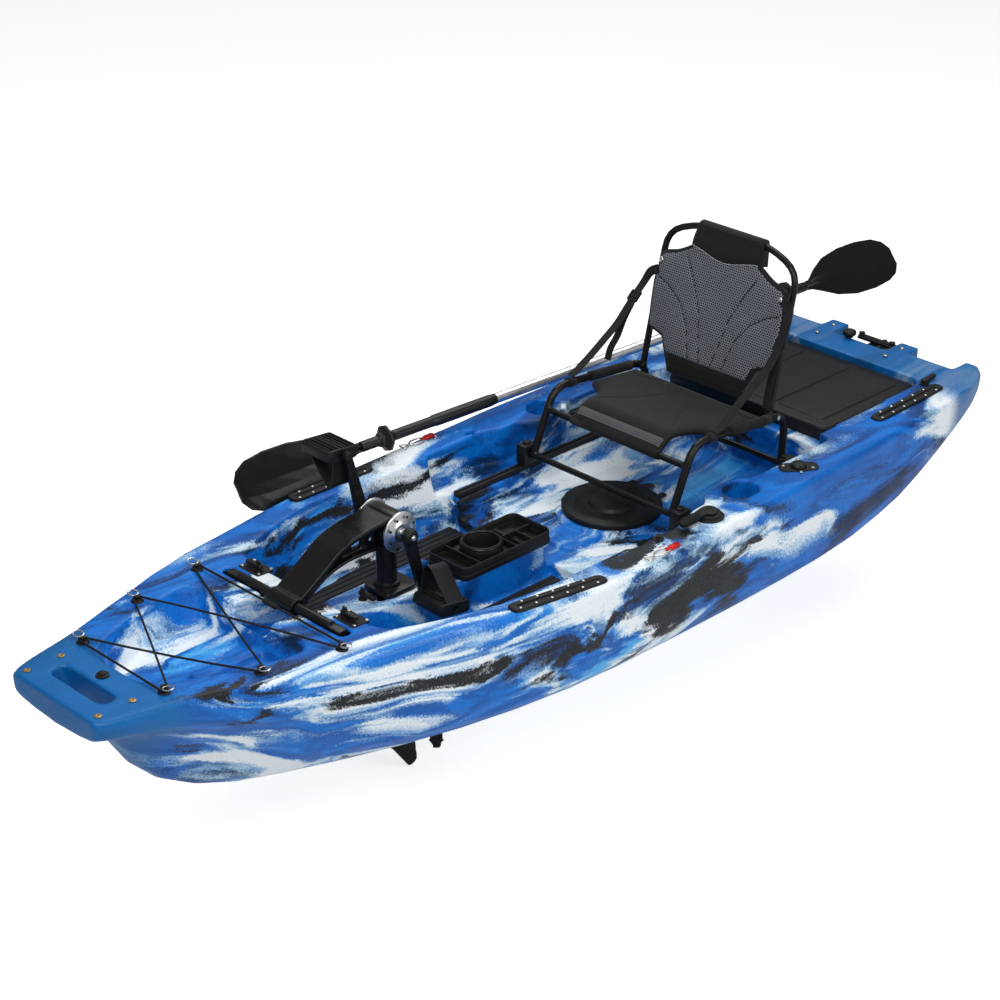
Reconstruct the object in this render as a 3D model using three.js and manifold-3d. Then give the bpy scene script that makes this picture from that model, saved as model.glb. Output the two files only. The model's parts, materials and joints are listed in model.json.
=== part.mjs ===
// Pedal kayak: a sit-on-top hull with a lift-out propeller drive, a sliding seat, a rudder and a paddle.
// Units are millimetres. +X is port, +Y is astern (the bow points to -Y) and +Z is up.
// The origin is on the keel flat amidships.
import * as THREE from 'three';
import { mergeVertices, toCreasedNormals } from 'three/addons/utils/BufferGeometryUtils.js';
import Module from 'manifold-3d';

const wasm = await Module();
wasm.setup();

// Driving dimensions

const gap = 0.3;
const overrun = 30;

const hull = { length: 2800, halfBeam: 445, depth: 345, wall: 7, cavityInset: 108, cavityAft: 100 };
const ease = { floor: 34, bilge: 70, band: 22, deck: 14 };
const halfLength = hull.length / 2;

// How far features lie from the boat's ends, and below or above the level that they belong to
const fromBow = { tankwell: 160, drainPlug: 128 };
const fromStern = { tank: 200, rim: 179, lid: 184, hook: 192 };
const below = {
  tankwell: 65, channel: 93, footwell: 195, ledge: 109, seatFloor: 163, sill: 39, tank: 131, rim: 23,
  recess: 100,
  keyhole: 80, cupFloor: 34, rudderPlate: 109, lowArm: 101, highArm: 23, bladePin: 57,
};
const above = {
  pod: 112, spine: 82, pads: 10, hatchRing: 17, tankRib: 13, cupRim: 40, bar: 2, hub: 168, foot: 45, knee: 216,
  heel: 182, sling: 160, clamp: 68, rudderPlate: 3,
};

// Seat half width, and how far other edges lie from it
const seatHalf = 283;
const seatRoom = { side: 71, ledge: 33, rail: 16, loop: 43, hoop: 23, strap: 3, panel: -14, gutter: 6 };
const deckOut = { recess: -13, keyhole: 20, eyelet: 14, steering: 25, rod: 14 };

const bowSlot = { halfWidth: 95, back: 100, width: 43, corner: 16, below: 150 };
const tankwell = {
  halfWidth: 214, front: fromBow.tankwell - halfLength, back: -858, floor: hull.depth - below.tankwell,
  draft: 38,
  corner: 24,
};
const tankRibShare = 0.445;
const tankRib = {
  x: 45, halfWidth: 18, front: tankwell.front + (tankwell.back - tankwell.front) * tankRibShare, back: -884,
  top: tankwell.floor + above.tankRib, foot: 6,
};
const channel = {
  halfWidth: 66, front: -880, back: -690, floor: hull.depth - below.channel, corner: 14, draft: 6,
};
const footwell = { halfWidth: 360, front: -716, back: 12, floor: hull.depth - below.footwell, corner: 30 };
const pod = { halfWidth: 60, front: -622, back: -300, top: footwell.floor + above.pod, foot: 24, corner: 26 };
const spine = { halfWidth: 66, front: -420, back: 40, top: footwell.floor + above.spine, foot: 14, corner: 12 };
const well = { halfWidth: 34, front: -520, back: -284, corner: 12 };
const seatArea = {
  halfWidth: seatHalf + seatRoom.side, front: -20, back: 780, floor: hull.depth - below.ledge, corner: 18,
};
const seatFloor = {
  halfWidth: seatHalf - seatRoom.ledge, front: -14, back: 772, floor: hull.depth - below.seatFloor, corner: 22,
  draft: 4,
};
const pad = {
  front: 66, back: 766, top: seatFloor.floor + above.pads, inner: 81, slot: 10, middle: 176,
  outer: seatFloor.halfWidth - seatRoom.gutter, corner: 12, foot: 3,
};
const hatch = { y: 304, ring: 142, ringTop: seatFloor.floor + above.hatchRing, mouth: 104 };
const sill = { halfWidth: 284, front: 760, back: 850, floor: hull.depth - below.sill };
const rearTank = {
  halfWidth: 262, front: 832, back: halfLength - fromStern.tank, floor: hull.depth - below.tank, corner: 40,
  draft: 8,
};
const rearRim = {
  halfWidth: 280, front: 811, back: halfLength - fromStern.rim, floor: hull.depth - below.rim, corner: 34,
};
const sternNotch = { halfWidth: 92, depth: 88 };
const sternBay = { inner: 150, outer: 300, depth: 64, floor: 302 };
const hornTrim = 14;
const recess = {
  x: seatArea.halfWidth + deckOut.recess, y: 400, halfWidth: 43, halfLength: 47,
  floor: hull.depth - below.recess,
  corner: 26,
};
const keyhole = {
  x: seatArea.halfWidth + deckOut.keyhole, y: 158, radius: 12, slot: 8, floor: hull.depth - below.keyhole,
};
const scupper = { x: 170, front: -250, back: 620, radius: 11, wall: 7 };

const deckSeat = { sink: 3, clearance: 0.8 };
const track = { width: 38, length: 282, thick: 9, slotWidth: 9, slotDepth: 4, edge: 1.2 };
const frontTrack = { inset: 53, y: -298, turn: -5.2 };
const hook = {
  x: 300, y: halfLength - fromStern.hook, radius: 9, thick: 8, arm: 46, width: 14, trackLead: 123,
};
const rearTrack = { inset: 98, y: hook.y - hook.trackLead, turn: -0.5 };

const eye = { behind: 33.5, base: 15, thick: 6, neck: 4.5, neckRise: 8, cap: 8.5, capThick: 3 };
const bungee = { radius: 3, clearance: 0.6, cross: 4.4, hook: 7, hookLength: 44 };
const drainPlug = {
  y: fromBow.drainPlug - halfLength, radius: 15, thick: 6, knob: 9, rise: 5, stem: 8, stemLength: 14,
};

const mat = { thick: 4, rib: 3, ribWidth: 11, pitch: 19, inner: 92, gutter: 9, front: -560, back: -8 };
const tray = { halfWidth: 70, front: -282, back: 18, base: 3, height: 15, rim: 4, corner: 22, bay: 11 };
const cup = {
  y: -160, body: 46, outer: 53.5, inner: 43.3, rim: spine.top + above.cupRim, floor: spine.top - below.cupFloor,
  base: 4, collar: 8,
};

const rail = {
  x: seatHalf - seatRoom.rail, width: 22, height: 14, front: 10, back: 742, slot: 7, slotDepth: 5,
};
const lid = {
  radius: 131, thick: 16, plug: 98, plugDepth: 12, dome: 6, grip: 62, tab: 15, tabReach: 26, tabX: 52,
};
const rearLid = {
  halfWidth: 275, front: 816, back: halfLength - fromStern.lid, thick: 25, skirt: 10, rib: 4, border: 34,
  corner: 30,
};

const steering = {
  x: seatArea.halfWidth + deckOut.steering, y: 238, radius: 38, base: 6, dial: 30, dialThick: 7,
  arm: 96, width: 15,
  thick: 7, ball: 10,
};
const rod = {
  x: seatArea.halfWidth + deckOut.rod, y: 592, length: 102, width: 46, thick: 5, bore: 17, tube: 21, depth: 105,
  cap: 9, turn: 53,
};
const clip = { inset: 21, y: 24, foot: 10, thick: 4, reach: 118, body: 7, wire: 2.4, eye: 17 };
const deckEye = { x: seatArea.halfWidth + deckOut.eyelet, y: 68, radius: 20, thick: 5, knob: 8, rise: 8 };

const bar = { y: -773, z: hull.depth + above.bar, radius: 13, half: 198, tip: 5 };
const arch = { half: 44, web: 7, plate: 12, rib: 9, ribHalf: 22, sleeve: 22 };
const hub = { y: -468, z: pod.top + above.hub, radius: 44, half: 46, bore: 34, port: 15 };
const flange = { radius: 50, thick: 12, rim: 5, boss: 24 };
const leg = { radius: 25, bore: 14, collar: 12, collarHalf: 48, collarFront: 40, collarBack: 62 };
const lower = { half: 16, front: -498, back: -432, z: -128, nose: -506, tail: -346, radius: 24, bore: 19.5 };
const skeg = { half: 4, tip: -262 };
const bevel = { crownX: 9.4, crown: 30, crownThick: 8, pinionFace: 12, foot: 14, footDrop: 5, footThick: 4 };
const shaft = { radius: 6.5, tail: 4.5, running: 0.8 };
const crank = { reach: 166, x: 80, thick: 16, width: 24, boss: 20, axle: 12, lean: -14 };
const pedal = {
  inner: 94, width: 98, length: 92, thick: 30, spindle: 7, strap: 4, strapRise: 82, strapWidth: 54,
};
const propeller = { y: -318, hub: 20, length: 42, radius: 120, root: 34, tip: 44, blade: 6, pitch: -30 };
const latch = { foot: 11, footThick: 5, post: 7, arm: 42, width: 14, thick: 8, tab: 9 };
const frontLatch = { x: 150, y: -726, rise: 4 };
const rearLatch = { y: -543, rise: 8 };

const seat = {
  x: seatHalf - seatRoom.loop, tube: 11, cross: 9, frontY: 262, footZ: seatArea.floor + above.foot, kneeY: 335,
  kneeZ: seatArea.floor + above.knee, heelY: 690, heelZ: seatArea.floor + above.heel, rearY: 682, bend: 52,
  slingY: 311, slingZ: seatArea.floor + above.sling, reach: seatHalf,
};
const clamp = { width: 31, length: 44, top: seatArea.floor + above.clamp, lip: 4 };
const panel = { half: seat.x - seat.tube, front: 300, back: 634, drop: 9, thick: 8, crown: 7, frontDrop: 34 };
const back = {
  x: seat.x - seatRoom.hoop, y: 650, tube: 9.5, lean: 13.3, shoulder: 372, top: 412, crownHalf: 120, bend: 96,
  pin: 5,
};
const backPanel = { half: seat.x + seatRoom.panel, bottom: 14, top: 418, thick: 13, crown: 7 };
const strap = { width: 24, thick: 3, x: seat.x + seatRoom.strap, ahead: 46, height: 286, foot: 50 };

const rudder = {
  plateHalf: 40, plateThick: 7, plateLow: hull.depth - below.rudderPlate,
  plateHigh: hull.depth + above.rudderPlate,
  armHalf: 15, armThick: 10, lowArm: hull.depth - below.lowArm, highArm: hull.depth - below.highArm, reach: 84,
  pin: 6, headHalf: 17, headBack: 58, slotFront: 13, yokeHalf: 62, yokeThick: 8, yokeDepth: 13, knob: 9,
};
const blade = {
  pivotBack: 40, pivotZ: hull.depth - below.bladePin, pin: 5, half: 3.5, slot: 4.6, depth: 330, chord: 108,
  head: 22,
};

const paddle = { ringY: -72, rearRingY: 1368, x: -446, rearX: -310, shaft: 15 };
const dripRing = { radius: 36, thick: 9, neck: 20, end: 76 };
const grip = { radius: 17, from: 150, length: 210 };
const paddleBlade = { length: 372, half: 77, thick: 5, spine: 9 };

// Degrees that loose pieces are turned by as they lie
const angles = { paddleRoll: 50, pedalPort: -10, pedalStarboard: 175 };

// Facet counts
const count = { round: 20, medium: 12, small: 8, few: 6, corner: 2, hullStations: 32, cavityStations: 12 };

const turn = Math.PI * 2;
const rad = THREE.MathUtils.degToRad;
const range = (n) => Array.from({ length: n }, (_, i) => i);
const at = (x, y, z) => new THREE.Vector3(x, y, z);

// Solids: every piece is a closed BufferGeometry, and manifold-3d joins and cuts them

function toManifold(geometry) {
  const bare = new THREE.BufferGeometry();
  bare.setAttribute('position', geometry.getAttribute('position').clone());
  if (geometry.index) bare.setIndex(geometry.index.clone());
  const merged = mergeVertices(bare, 1e-3);
  const source = merged.index.array;
  const faces = [];
  for (let i = 0; i < source.length; i += 3) {
    const [a, b, c] = [source[i], source[i + 1], source[i + 2]];
    if (a !== b && b !== c && c !== a) faces.push(a, b, c);
  }
  const vertProperties = new Float32Array(merged.getAttribute('position').array);
  const build = (triangles) =>
    new wasm.Manifold(new wasm.Mesh({ numProp: 3, vertProperties, triVerts: new Uint32Array(triangles) }));
  const made = build(faces);
  return made.volume() >= 0 ? made : build(faces.reverse());
}

function toGeometry(manifold) {
  const mesh = manifold.getMesh();
  const stride = mesh.numProp;
  const positions = new Float32Array(mesh.numVert * 3);
  for (let i = 0; i < mesh.numVert; i++) {
    positions.set(mesh.vertProperties.subarray(i * stride, i * stride + 3), i * 3);
  }
  const geometry = new THREE.BufferGeometry();
  geometry.setAttribute('position', new THREE.BufferAttribute(positions, 3));
  geometry.setIndex(new THREE.BufferAttribute(new Uint32Array(mesh.triVerts), 1));
  return geometry;
}

const join = (...pieces) =>
  toGeometry(pieces.flat().map(toManifold).reduce((whole, piece) => whole.add(piece)));
const cut = (body, ...tools) =>
  toGeometry(tools.flat().map(toManifold).reduce((whole, tool) => whole.subtract(tool), toManifold(body)));
const common = (a, b) => toGeometry(toManifold(a).intersect(toManifold(b)));

const moved = (geometry, x, y, z) => geometry.clone().translate(x, y, z);
const mirrored = (geometry) => toGeometry(toManifold(geometry.clone().scale(-1, 1, 1)));

// A closed surface through rings of points that all have the same count, with a cap at each end
function loft(rings) {
  const size = rings[0].length;
  const index = [];
  for (const r of range(rings.length - 1)) {
    for (const i of range(size)) {
      const a = r * size + i;
      const b = r * size + ((i + 1) % size);
      index.push(a, b, b + size, a, b + size, a + size);
    }
  }
  const cap = (ring, start, flip) => {
    const normal = at(0, 0, 0);
    ring.forEach((p, i) => {
      const q = ring[(i + 1) % size];
      normal.x += (p.y - q.y) * (p.z + q.z);
      normal.y += (p.z - q.z) * (p.x + q.x);
      normal.z += (p.x - q.x) * (p.y + q.y);
    });
    normal.normalize();
    const reference = Math.abs(normal.z) < 0.9 ? at(0, 0, 1) : at(1, 0, 0);
    const u = reference.cross(normal).normalize();
    const v = normal.clone().cross(u);
    const flat = ring.map((p) => new THREE.Vector2(p.dot(u), p.dot(v)));
    for (const [a, b, c] of THREE.ShapeUtils.triangulateShape(flat, [])) {
      index.push(start + a, start + (flip ? c : b), start + (flip ? b : c));
    }
  };
  cap(rings[0], 0, true);
  cap(rings.at(-1), (rings.length - 1) * size, false);
  const geometry = new THREE.BufferGeometry();
  const positions = rings.flat().flatMap((p) => [p.x, p.y, p.z]);
  geometry.setAttribute('position', new THREE.Float32BufferAttribute(positions, 3));
  geometry.setIndex(index);
  return geometry;
}

// The arc, as points, that eases the corner of a flat outline
function cornerArc(before, corner, after, radius, steps) {
  const middle = new THREE.Vector2(...corner);
  const toBefore = new THREE.Vector2(...before).sub(middle);
  const toAfter = new THREE.Vector2(...after).sub(middle);
  const reach = Math.min(radius, toBefore.length() * 0.45, toAfter.length() * 0.45);
  const start = middle.clone().addScaledVector(toBefore.normalize(), reach);
  const end = middle.clone().addScaledVector(toAfter.normalize(), reach);
  const curve = new THREE.QuadraticBezierCurve(start, middle, end);
  return curve.getPoints(steps).map((p) => [p.x, p.y]);
}

const rounded = (points, radius, steps = count.corner) =>
  points.flatMap((p, i) => cornerArc(points.at(i - 1), p, points[(i + 1) % points.length], radius, steps));

const rectangle = (x0, x1, y0, y1) => [[x0, y0], [x1, y0], [x1, y1], [x0, y1]];
const circle = (radius, sides, x = 0, y = 0) =>
  range(sides).map((i) => [
    x + radius * Math.cos((turn * i) / sides),
    y + radius * Math.sin((turn * i) / sides),
  ]);
const mirrorHalf = (points) => [...points, ...points.map(([x, y]) => [-x, y]).reverse()];

// Half an outline given as shares of its half width and of the way from its front to its back
const sharedOutline = (shares, { halfWidth, front, back: rear, corner }, steps = count.corner) =>
  rounded(mirrorHalf(shares.map(([x, y]) => [x * halfWidth, front + (rear - front) * y])), corner, steps);

// Scales an outline about its middle so that each side moves out by grow
function grown(points, grow) {
  const xs = points.map((p) => p[0]);
  const ys = points.map((p) => p[1]);
  const [x0, x1, y0, y1] = [Math.min(...xs), Math.max(...xs), Math.min(...ys), Math.max(...ys)];
  const [cx, cy] = [(x0 + x1) / 2, (y0 + y1) / 2];
  const [sx, sy] = [1 + (2 * grow) / (x1 - x0), 1 + (2 * grow) / (y1 - y0)];
  return points.map(([x, y]) => [cx + (x - cx) * sx, cy + (y - cy) * sy]);
}

const level = (points, z) => points.map(([x, y]) => at(x, y, z));
const block = (lowerOutline, z0, upperOutline, z1) => loft([level(lowerOutline, z0), level(upperOutline, z1)]);
const slab = (outline, z0, z1) => block(outline, z0, outline, z1);
const box = (x0, x1, y0, y1, z0, z1) => slab(rectangle(x0, x1, y0, y1), z0, z1);

// A slab with its top edge eased by a small slope
function eased(outline, z0, z1, slope) {
  return loft([level(outline, z0), level(outline, z1 - slope), level(grown(outline, -slope), z1)]);
}

// A turned piece: its profile is a list of [radius, distance] that starts and ends on the axis
function turned(profile, axis, sides = count.round) {
  const geometry = new THREE.LatheGeometry(profile.map(([r, h]) => new THREE.Vector2(r, h)), sides);
  if (axis === 'x') geometry.rotateZ(-turn / 4);
  if (axis === 'z') geometry.rotateX(turn / 4);
  return geometry;
}

const pin = (axis, radius, from, to, sides = count.medium) =>
  turned([[0, from], [radius, from], [radius, to], [0, to]], axis, sides);

// The radius of a faceted hole whose flats clear a round pin whichever way the pin is turned
const clearing = (radius, facets) => (radius + gap) / Math.cos(turn / 2 / facets);

// A side outline, as [y, z] points, made solid across the boat from x0 to x1
const sideways = (points, x0, x1) =>
  loft([points.map(([y, z]) => at(x0, y, z)), points.map(([y, z]) => at(x1, y, z))]);

// A path that stops exactly at its own points
class PointPath extends THREE.Curve {
  constructor(points) {
    super();
    this.points = points;
  }
  place(u) {
    return Math.round(u * (this.points.length - 1));
  }
  getPointAt(u) {
    return this.points[this.place(u)].clone();
  }
  getTangentAt(u) {
    const i = this.place(u);
    const here = this.points[i];
    const into = here.clone().sub(this.points[Math.max(i - 1, 0)]).normalize();
    const out = this.points[Math.min(i + 1, this.points.length - 1)].clone().sub(here).normalize();
    return into.add(out).normalize();
  }
}

function bent(points, radius, steps) {
  return points.flatMap((p, i) => {
    if (i === 0 || i === points.length - 1) return [p.clone()];
    const toBefore = points[i - 1].clone().sub(p);
    const toAfter = points[i + 1].clone().sub(p);
    const reach = Math.min(radius, toBefore.length() * 0.45, toAfter.length() * 0.45);
    const start = p.clone().addScaledVector(toBefore.normalize(), reach);
    const end = p.clone().addScaledVector(toAfter.normalize(), reach);
    return new THREE.QuadraticBezierCurve3(start, p, end).getPoints(steps);
  });
}

function tube(points, radius, sides = count.small) {
  const shape = new THREE.Shape(circle(radius, sides).map((p) => new THREE.Vector2(...p)));
  const extrudePath = new PointPath(points);
  return new THREE.ExtrudeGeometry(shape, { extrudePath, steps: points.length - 1, bevelEnabled: false });
}

// A flat strap through points, its width lying along the side direction
function webbing(points, side, width, thick) {
  const rings = points.map((p, i) => {
    const before = points[Math.max(i - 1, 0)];
    const after = points[Math.min(i + 1, points.length - 1)];
    const along = after.clone().sub(before).normalize();
    const normal = along.clone().cross(side).normalize();
    const across = normal.clone().cross(along).normalize();
    const corners = [[-width, -thick], [width, -thick], [width, thick], [-width, thick]];
    return corners.map(([w, t]) => p.clone().addScaledVector(across, w / 2).addScaledVector(normal, t / 2));
  });
  return loft(rings);
}

// A smooth curve through [place, value] pairs that never swings past them
function through(pairs) {
  const slopes = pairs.slice(1).map((p, i) => (p[1] - pairs[i][1]) / (p[0] - pairs[i][0]));
  const tangents = pairs.map((_, i) => {
    if (i === 0) return slopes[0];
    if (i === pairs.length - 1) return slopes.at(-1);
    const [a, b] = [slopes[i - 1], slopes[i]];
    return a * b <= 0 ? 0 : (2 * a * b) / (a + b);
  });
  return (place) => {
    const next = pairs.findIndex((p, k) => k > 0 && place <= p[0]);
    const i = next < 0 ? pairs.length - 2 : next - 1;
    const [x0, y0] = pairs[i];
    const [x1, y1] = pairs[i + 1];
    const h = x1 - x0;
    const t = Math.min(1, Math.max(0, (place - x0) / h));
    const value = (1 + 2 * t) * (1 - t) ** 2 * y0 + t * t * (3 - 2 * t) * y1;
    return value + t * (1 - t) ** 2 * h * tangents[i] + t * t * (t - 1) * h * tangents[i + 1];
  };
}

// Hull lines: [share of the half length from amidships, share of the half beam or of the depth]

const deckHalfShares = [
  [-1, 0.335], [-0.988, 0.362], [-0.865, 0.462], [-0.717, 0.622], [-0.59, 0.76], [-0.435, 0.852],
  [-0.288, 0.925], [-0.143, 0.985], [0, 1], [0.2, 1], [0.357, 0.986], [0.53, 0.967], [0.67, 0.948],
  [0.836, 0.922], [0.93, 0.893], [0.975, 0.845], [1, 0.77],
];
const deckTopShares = [
  [-1, 1.058], [-0.87, 1.056], [-0.72, 1.04], [-0.59, 1.018], [-0.45, 1.003], [-0.3, 0.994],
  [-0.12, 0.96], [0.03, 0.965], [0.25, 0.988], [0.5, 1.003], [0.7, 1.014], [0.85, 1.035],
  [0.93, 1.056], [1, 1.06],
];
const bandHalfShares = [
  [-1, 0.325], [-0.988, 0.352], [-0.865, 0.447], [-0.717, 0.6], [-0.59, 0.736], [-0.435, 0.836],
  [-0.288, 0.914], [-0.143, 0.976], [0, 0.991], [0.2, 0.991], [0.357, 0.977], [0.53, 0.957],
  [0.67, 0.937], [0.836, 0.908], [0.93, 0.877], [0.975, 0.83], [1, 0.755],
];
const bandLowShares = [
  [-1, 0.935], [-0.865, 0.862], [-0.717, 0.775], [-0.59, 0.705], [-0.435, 0.62], [-0.288, 0.56],
  [0, 0.52], [0.5, 0.52], [0.67, 0.57], [0.836, 0.69], [0.93, 0.82], [1, 0.945],
];
const bilgeHalfShares = [
  [-1, 0.3], [-0.965, 0.25], [-0.92, 0.17], [-0.88, 0.184], [-0.836, 0.225], [-0.793, 0.288],
  [-0.743, 0.36], [-0.686, 0.46], [-0.629, 0.562], [-0.557, 0.667], [-0.47, 0.76], [-0.37, 0.831],
  [-0.257, 0.894], [-0.129, 0.94], [0, 0.957], [0.3, 0.957], [0.5, 0.944], [0.686, 0.9],
  [0.786, 0.863], [0.857, 0.83], [0.921, 0.787], [0.964, 0.745], [1, 0.69],
];
const bilgeLowShares = [
  [-1, 0.915], [-0.965, 0.84], [-0.92, 0.76], [-0.88, 0.66], [-0.836, 0.55], [-0.793, 0.478],
  [-0.743, 0.406], [-0.686, 0.348], [-0.629, 0.307], [-0.557, 0.278], [-0.47, 0.255], [-0.37, 0.238],
  [-0.257, 0.232], [0.3, 0.232], [0.5, 0.243], [0.686, 0.325], [0.786, 0.435], [0.857, 0.545],
  [0.921, 0.68], [0.964, 0.797], [1, 0.9],
];
const floorHalfShares = [
  [-1, 0.2], [-0.965, 0.13], [-0.92, 0.085], [-0.88, 0.072], [-0.836, 0.1], [-0.793, 0.14],
  [-0.743, 0.19], [-0.686, 0.265], [-0.557, 0.416], [-0.37, 0.596], [-0.129, 0.73], [0.2, 0.764],
  [0.5, 0.742], [0.686, 0.697], [0.857, 0.638], [1, 0.562],
];
const floorLowShares = [
  [-1, 0.895], [-0.965, 0.8], [-0.92, 0.667], [-0.88, 0.42], [-0.836, 0.222], [-0.793, 0.118],
  [-0.743, 0.046], [-0.686, 0.03], [-0.37, 0.036], [-0.129, 0.046], [0.2, 0.052], [0.5, 0.064],
  [0.686, 0.139], [0.786, 0.243], [0.857, 0.365], [0.921, 0.54], [0.964, 0.675], [1, 0.82],
];
const keelShares = [
  [-1, 0.88], [-0.965, 0.785], [-0.92, 0.645], [-0.906, 0.571], [-0.881, 0.391], [-0.837, 0.197],
  [-0.8, 0.104], [-0.742, 0.012], [-0.69, -0.012], [0.45, -0.012], [0.6, 0.015], [0.686, 0.09],
  [0.786, 0.2], [0.857, 0.325], [0.921, 0.505], [0.964, 0.645], [1, 0.8],
];

function hullLine(shares, size) {
  const curve = through(shares);
  return (y) => curve(y / halfLength) * size;
}

const lines = {
  deckHalf: hullLine(deckHalfShares, hull.halfBeam),
  deckTop: hullLine(deckTopShares, hull.depth),
  bandHalf: hullLine(bandHalfShares, hull.halfBeam),
  bandLow: hullLine(bandLowShares, hull.depth),
  bilgeHalf: hullLine(bilgeHalfShares, hull.halfBeam),
  bilgeLow: hullLine(bilgeLowShares, hull.depth),
  floorHalf: hullLine(floorHalfShares, hull.halfBeam),
  floorLow: hullLine(floorLowShares, hull.depth),
  keelLow: hullLine(keelShares, hull.depth),
};

// One ring round the hull at y, drawn in by inset, with its corners eased
function hullRing(y, inset, steps) {
  const keel = [0, lines.keelLow(y) + inset];
  const crown = [0, lines.deckTop(y) - inset];
  const corners = [
    [lines.floorHalf(y) - inset, lines.floorLow(y) + inset],
    [lines.bilgeHalf(y) - inset, lines.bilgeLow(y) + inset],
    [lines.bandHalf(y) - inset, lines.bandLow(y) + inset],
    [lines.deckHalf(y) - inset, lines.deckTop(y) - inset],
  ];
  const radii = [ease.floor, ease.bilge, ease.band, ease.deck];
  const arcs = corners.flatMap((corner, i) =>
    cornerArc(i ? corners[i - 1] : keel, corner, corners[i + 1] ?? crown, radii[i], steps),
  );
  const side = [keel, ...arcs, crown];
  const other = side.slice(1, -1).reverse().map(([x, z]) => [-x, z]);
  return [...side, ...other].map(([x, z]) => at(x, y, z));
}

// Places along the hull that lie closer together near the ends, where its lines turn fastest
const endPacking = 0.74;
const stations = (total, from, to) =>
  range(total).map((i) => {
    const t = i / (total - 1);
    return from + (to - from) * (t - (endPacking * Math.sin(turn * t)) / turn);
  });

// Deck pockets. Each takes grow, so the same shape, one wall larger, keeps the hollow inside clear of it

const pocket = (floorOutline, floor, topOutline, grow = 0, top = hull.depth + overrun) =>
  block(grown(floorOutline, grow), floor - grow, grown(topOutline, grow), top);

// The corners of the hollow inside have fewer steps than those of the deck
const cornerSteps = (grow) => (grow ? 1 : count.corner);

const straightPocket = (shape, grow) => {
  const corners = rectangle(-shape.halfWidth, shape.halfWidth, shape.front, shape.back);
  const outline = rounded(corners, shape.corner, cornerSteps(grow));
  return pocket(grown(outline, -shape.draft), shape.floor, outline, grow);
};

function bowSlotCut(grow) {
  const front = -halfLength + bowSlot.back - bowSlot.width;
  const outline = rectangle(-bowSlot.halfWidth, bowSlot.halfWidth, front, front + bowSlot.width);
  const floor = hull.depth - bowSlot.below;
  return pocket(rounded(outline, bowSlot.corner), floor, rounded(outline, bowSlot.corner), grow);
}

const tankwellShares = [[0.28, 0], [0.523, 0.073], [0.832, 0.471], [1, 0.89], [0.935, 1]];

function tankwellCut(grow) {
  const outline = sharedOutline(tankwellShares, tankwell, cornerSteps(grow));
  const hollow = pocket(grown(outline, -tankwell.draft), tankwell.floor, outline, grow);
  if (grow) return hollow;
  const ribs = [-1, 1].map((side) => {
    const x = side * tankRib.x;
    const rib = rectangle(x - tankRib.halfWidth, x + tankRib.halfWidth, tankRib.front, tankRib.back);
    return block(grown(rib, tankRib.foot), tankwell.floor - overrun, rib, tankRib.top);
  });
  return cut(hollow, ribs);
}

const footTopShares = [
  [0.56, 0], [0.73, 0.022], [0.864, 0.2], [0.972, 0.383], [1, 0.571], [0.994, 0.93], [0.983, 1],
];
const footFloorShares = [
  [0.333, 0.06], [0.556, 0.09], [0.661, 0.214], [0.744, 0.383], [0.783, 0.571], [0.8, 0.93], [0.794, 0.986],
];

// A raised form that stands in the footwell, wider at its foot
function mound(shape, shrink) {
  const corners = rectangle(-shape.halfWidth, shape.halfWidth, shape.front, shape.back);
  const outline = rounded(corners, shape.corner, cornerSteps(shrink));
  const foot = grown(outline, shape.foot - shrink);
  return block(foot, footwell.floor - overrun, grown(outline, -shrink), shape.top - shrink);
}

function footwellCut(grow) {
  const outline = (shares) => sharedOutline(shares, footwell, cornerSteps(grow));
  const hollow = pocket(outline(footFloorShares), footwell.floor, outline(footTopShares), grow);
  return cut(hollow, mound(pod, grow), mound(spine, grow));
}

const seatShares = [
  [1, 0], [1, 0.25], [0.93, 0.31], [0.924, 0.38], [0.808, 0.435], [0.808, 0.565], [0.9, 0.604],
  [0.905, 0.725], [0.905, 1],
];

function seatAreaCut(grow) {
  const outline = sharedOutline(seatShares, seatArea, cornerSteps(grow));
  return pocket(outline, seatArea.floor, outline, grow);
}

function seatFloorCut(grow) {
  const hollow = straightPocket(seatFloor, grow);
  if (grow) return hollow;
  const lanes = [[-pad.inner, pad.inner]];
  for (const [from, to] of [[pad.inner + pad.slot, pad.middle], [pad.middle + pad.slot, pad.outer]]) {
    lanes.push([from, to], [-to, -from]);
  }
  const pads = lanes.map(([x0, x1]) => {
    const outline = rounded(rectangle(x0, x1, pad.front, pad.back), pad.corner);
    return block(outline, seatFloor.floor - overrun, grown(outline, -pad.foot), pad.top);
  });
  const ring = pin('z', hatch.ring, seatFloor.floor - overrun, hatch.ringTop, count.round);
  return cut(hollow, pads, moved(ring, 0, hatch.y, 0));
}

function rearTankCut(grow) {
  const corners = rectangle(-rearRim.halfWidth, rearRim.halfWidth, rearRim.front, rearRim.back);
  const rim = rounded(corners, rearRim.corner, cornerSteps(grow));
  const passage = box(
    -sill.halfWidth - grow, sill.halfWidth + grow, sill.front - grow, sill.back + grow,
    sill.floor - grow, hull.depth + overrun,
  );
  return join(straightPocket(rearTank, grow), pocket(rim, rearRim.floor, rim, grow), passage);
}

function recessCut(grow) {
  const tool = (side) => {
    const x = side * recess.x;
    const sides = [x - recess.halfWidth, x + recess.halfWidth];
    const outline = rectangle(...sides, recess.y - recess.halfLength, recess.y + recess.halfLength);
    const octagon = rounded(outline, recess.corner, 1);
    return pocket(octagon, recess.floor, octagon, grow);
  };
  return join(tool(-1), tool(1));
}

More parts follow.
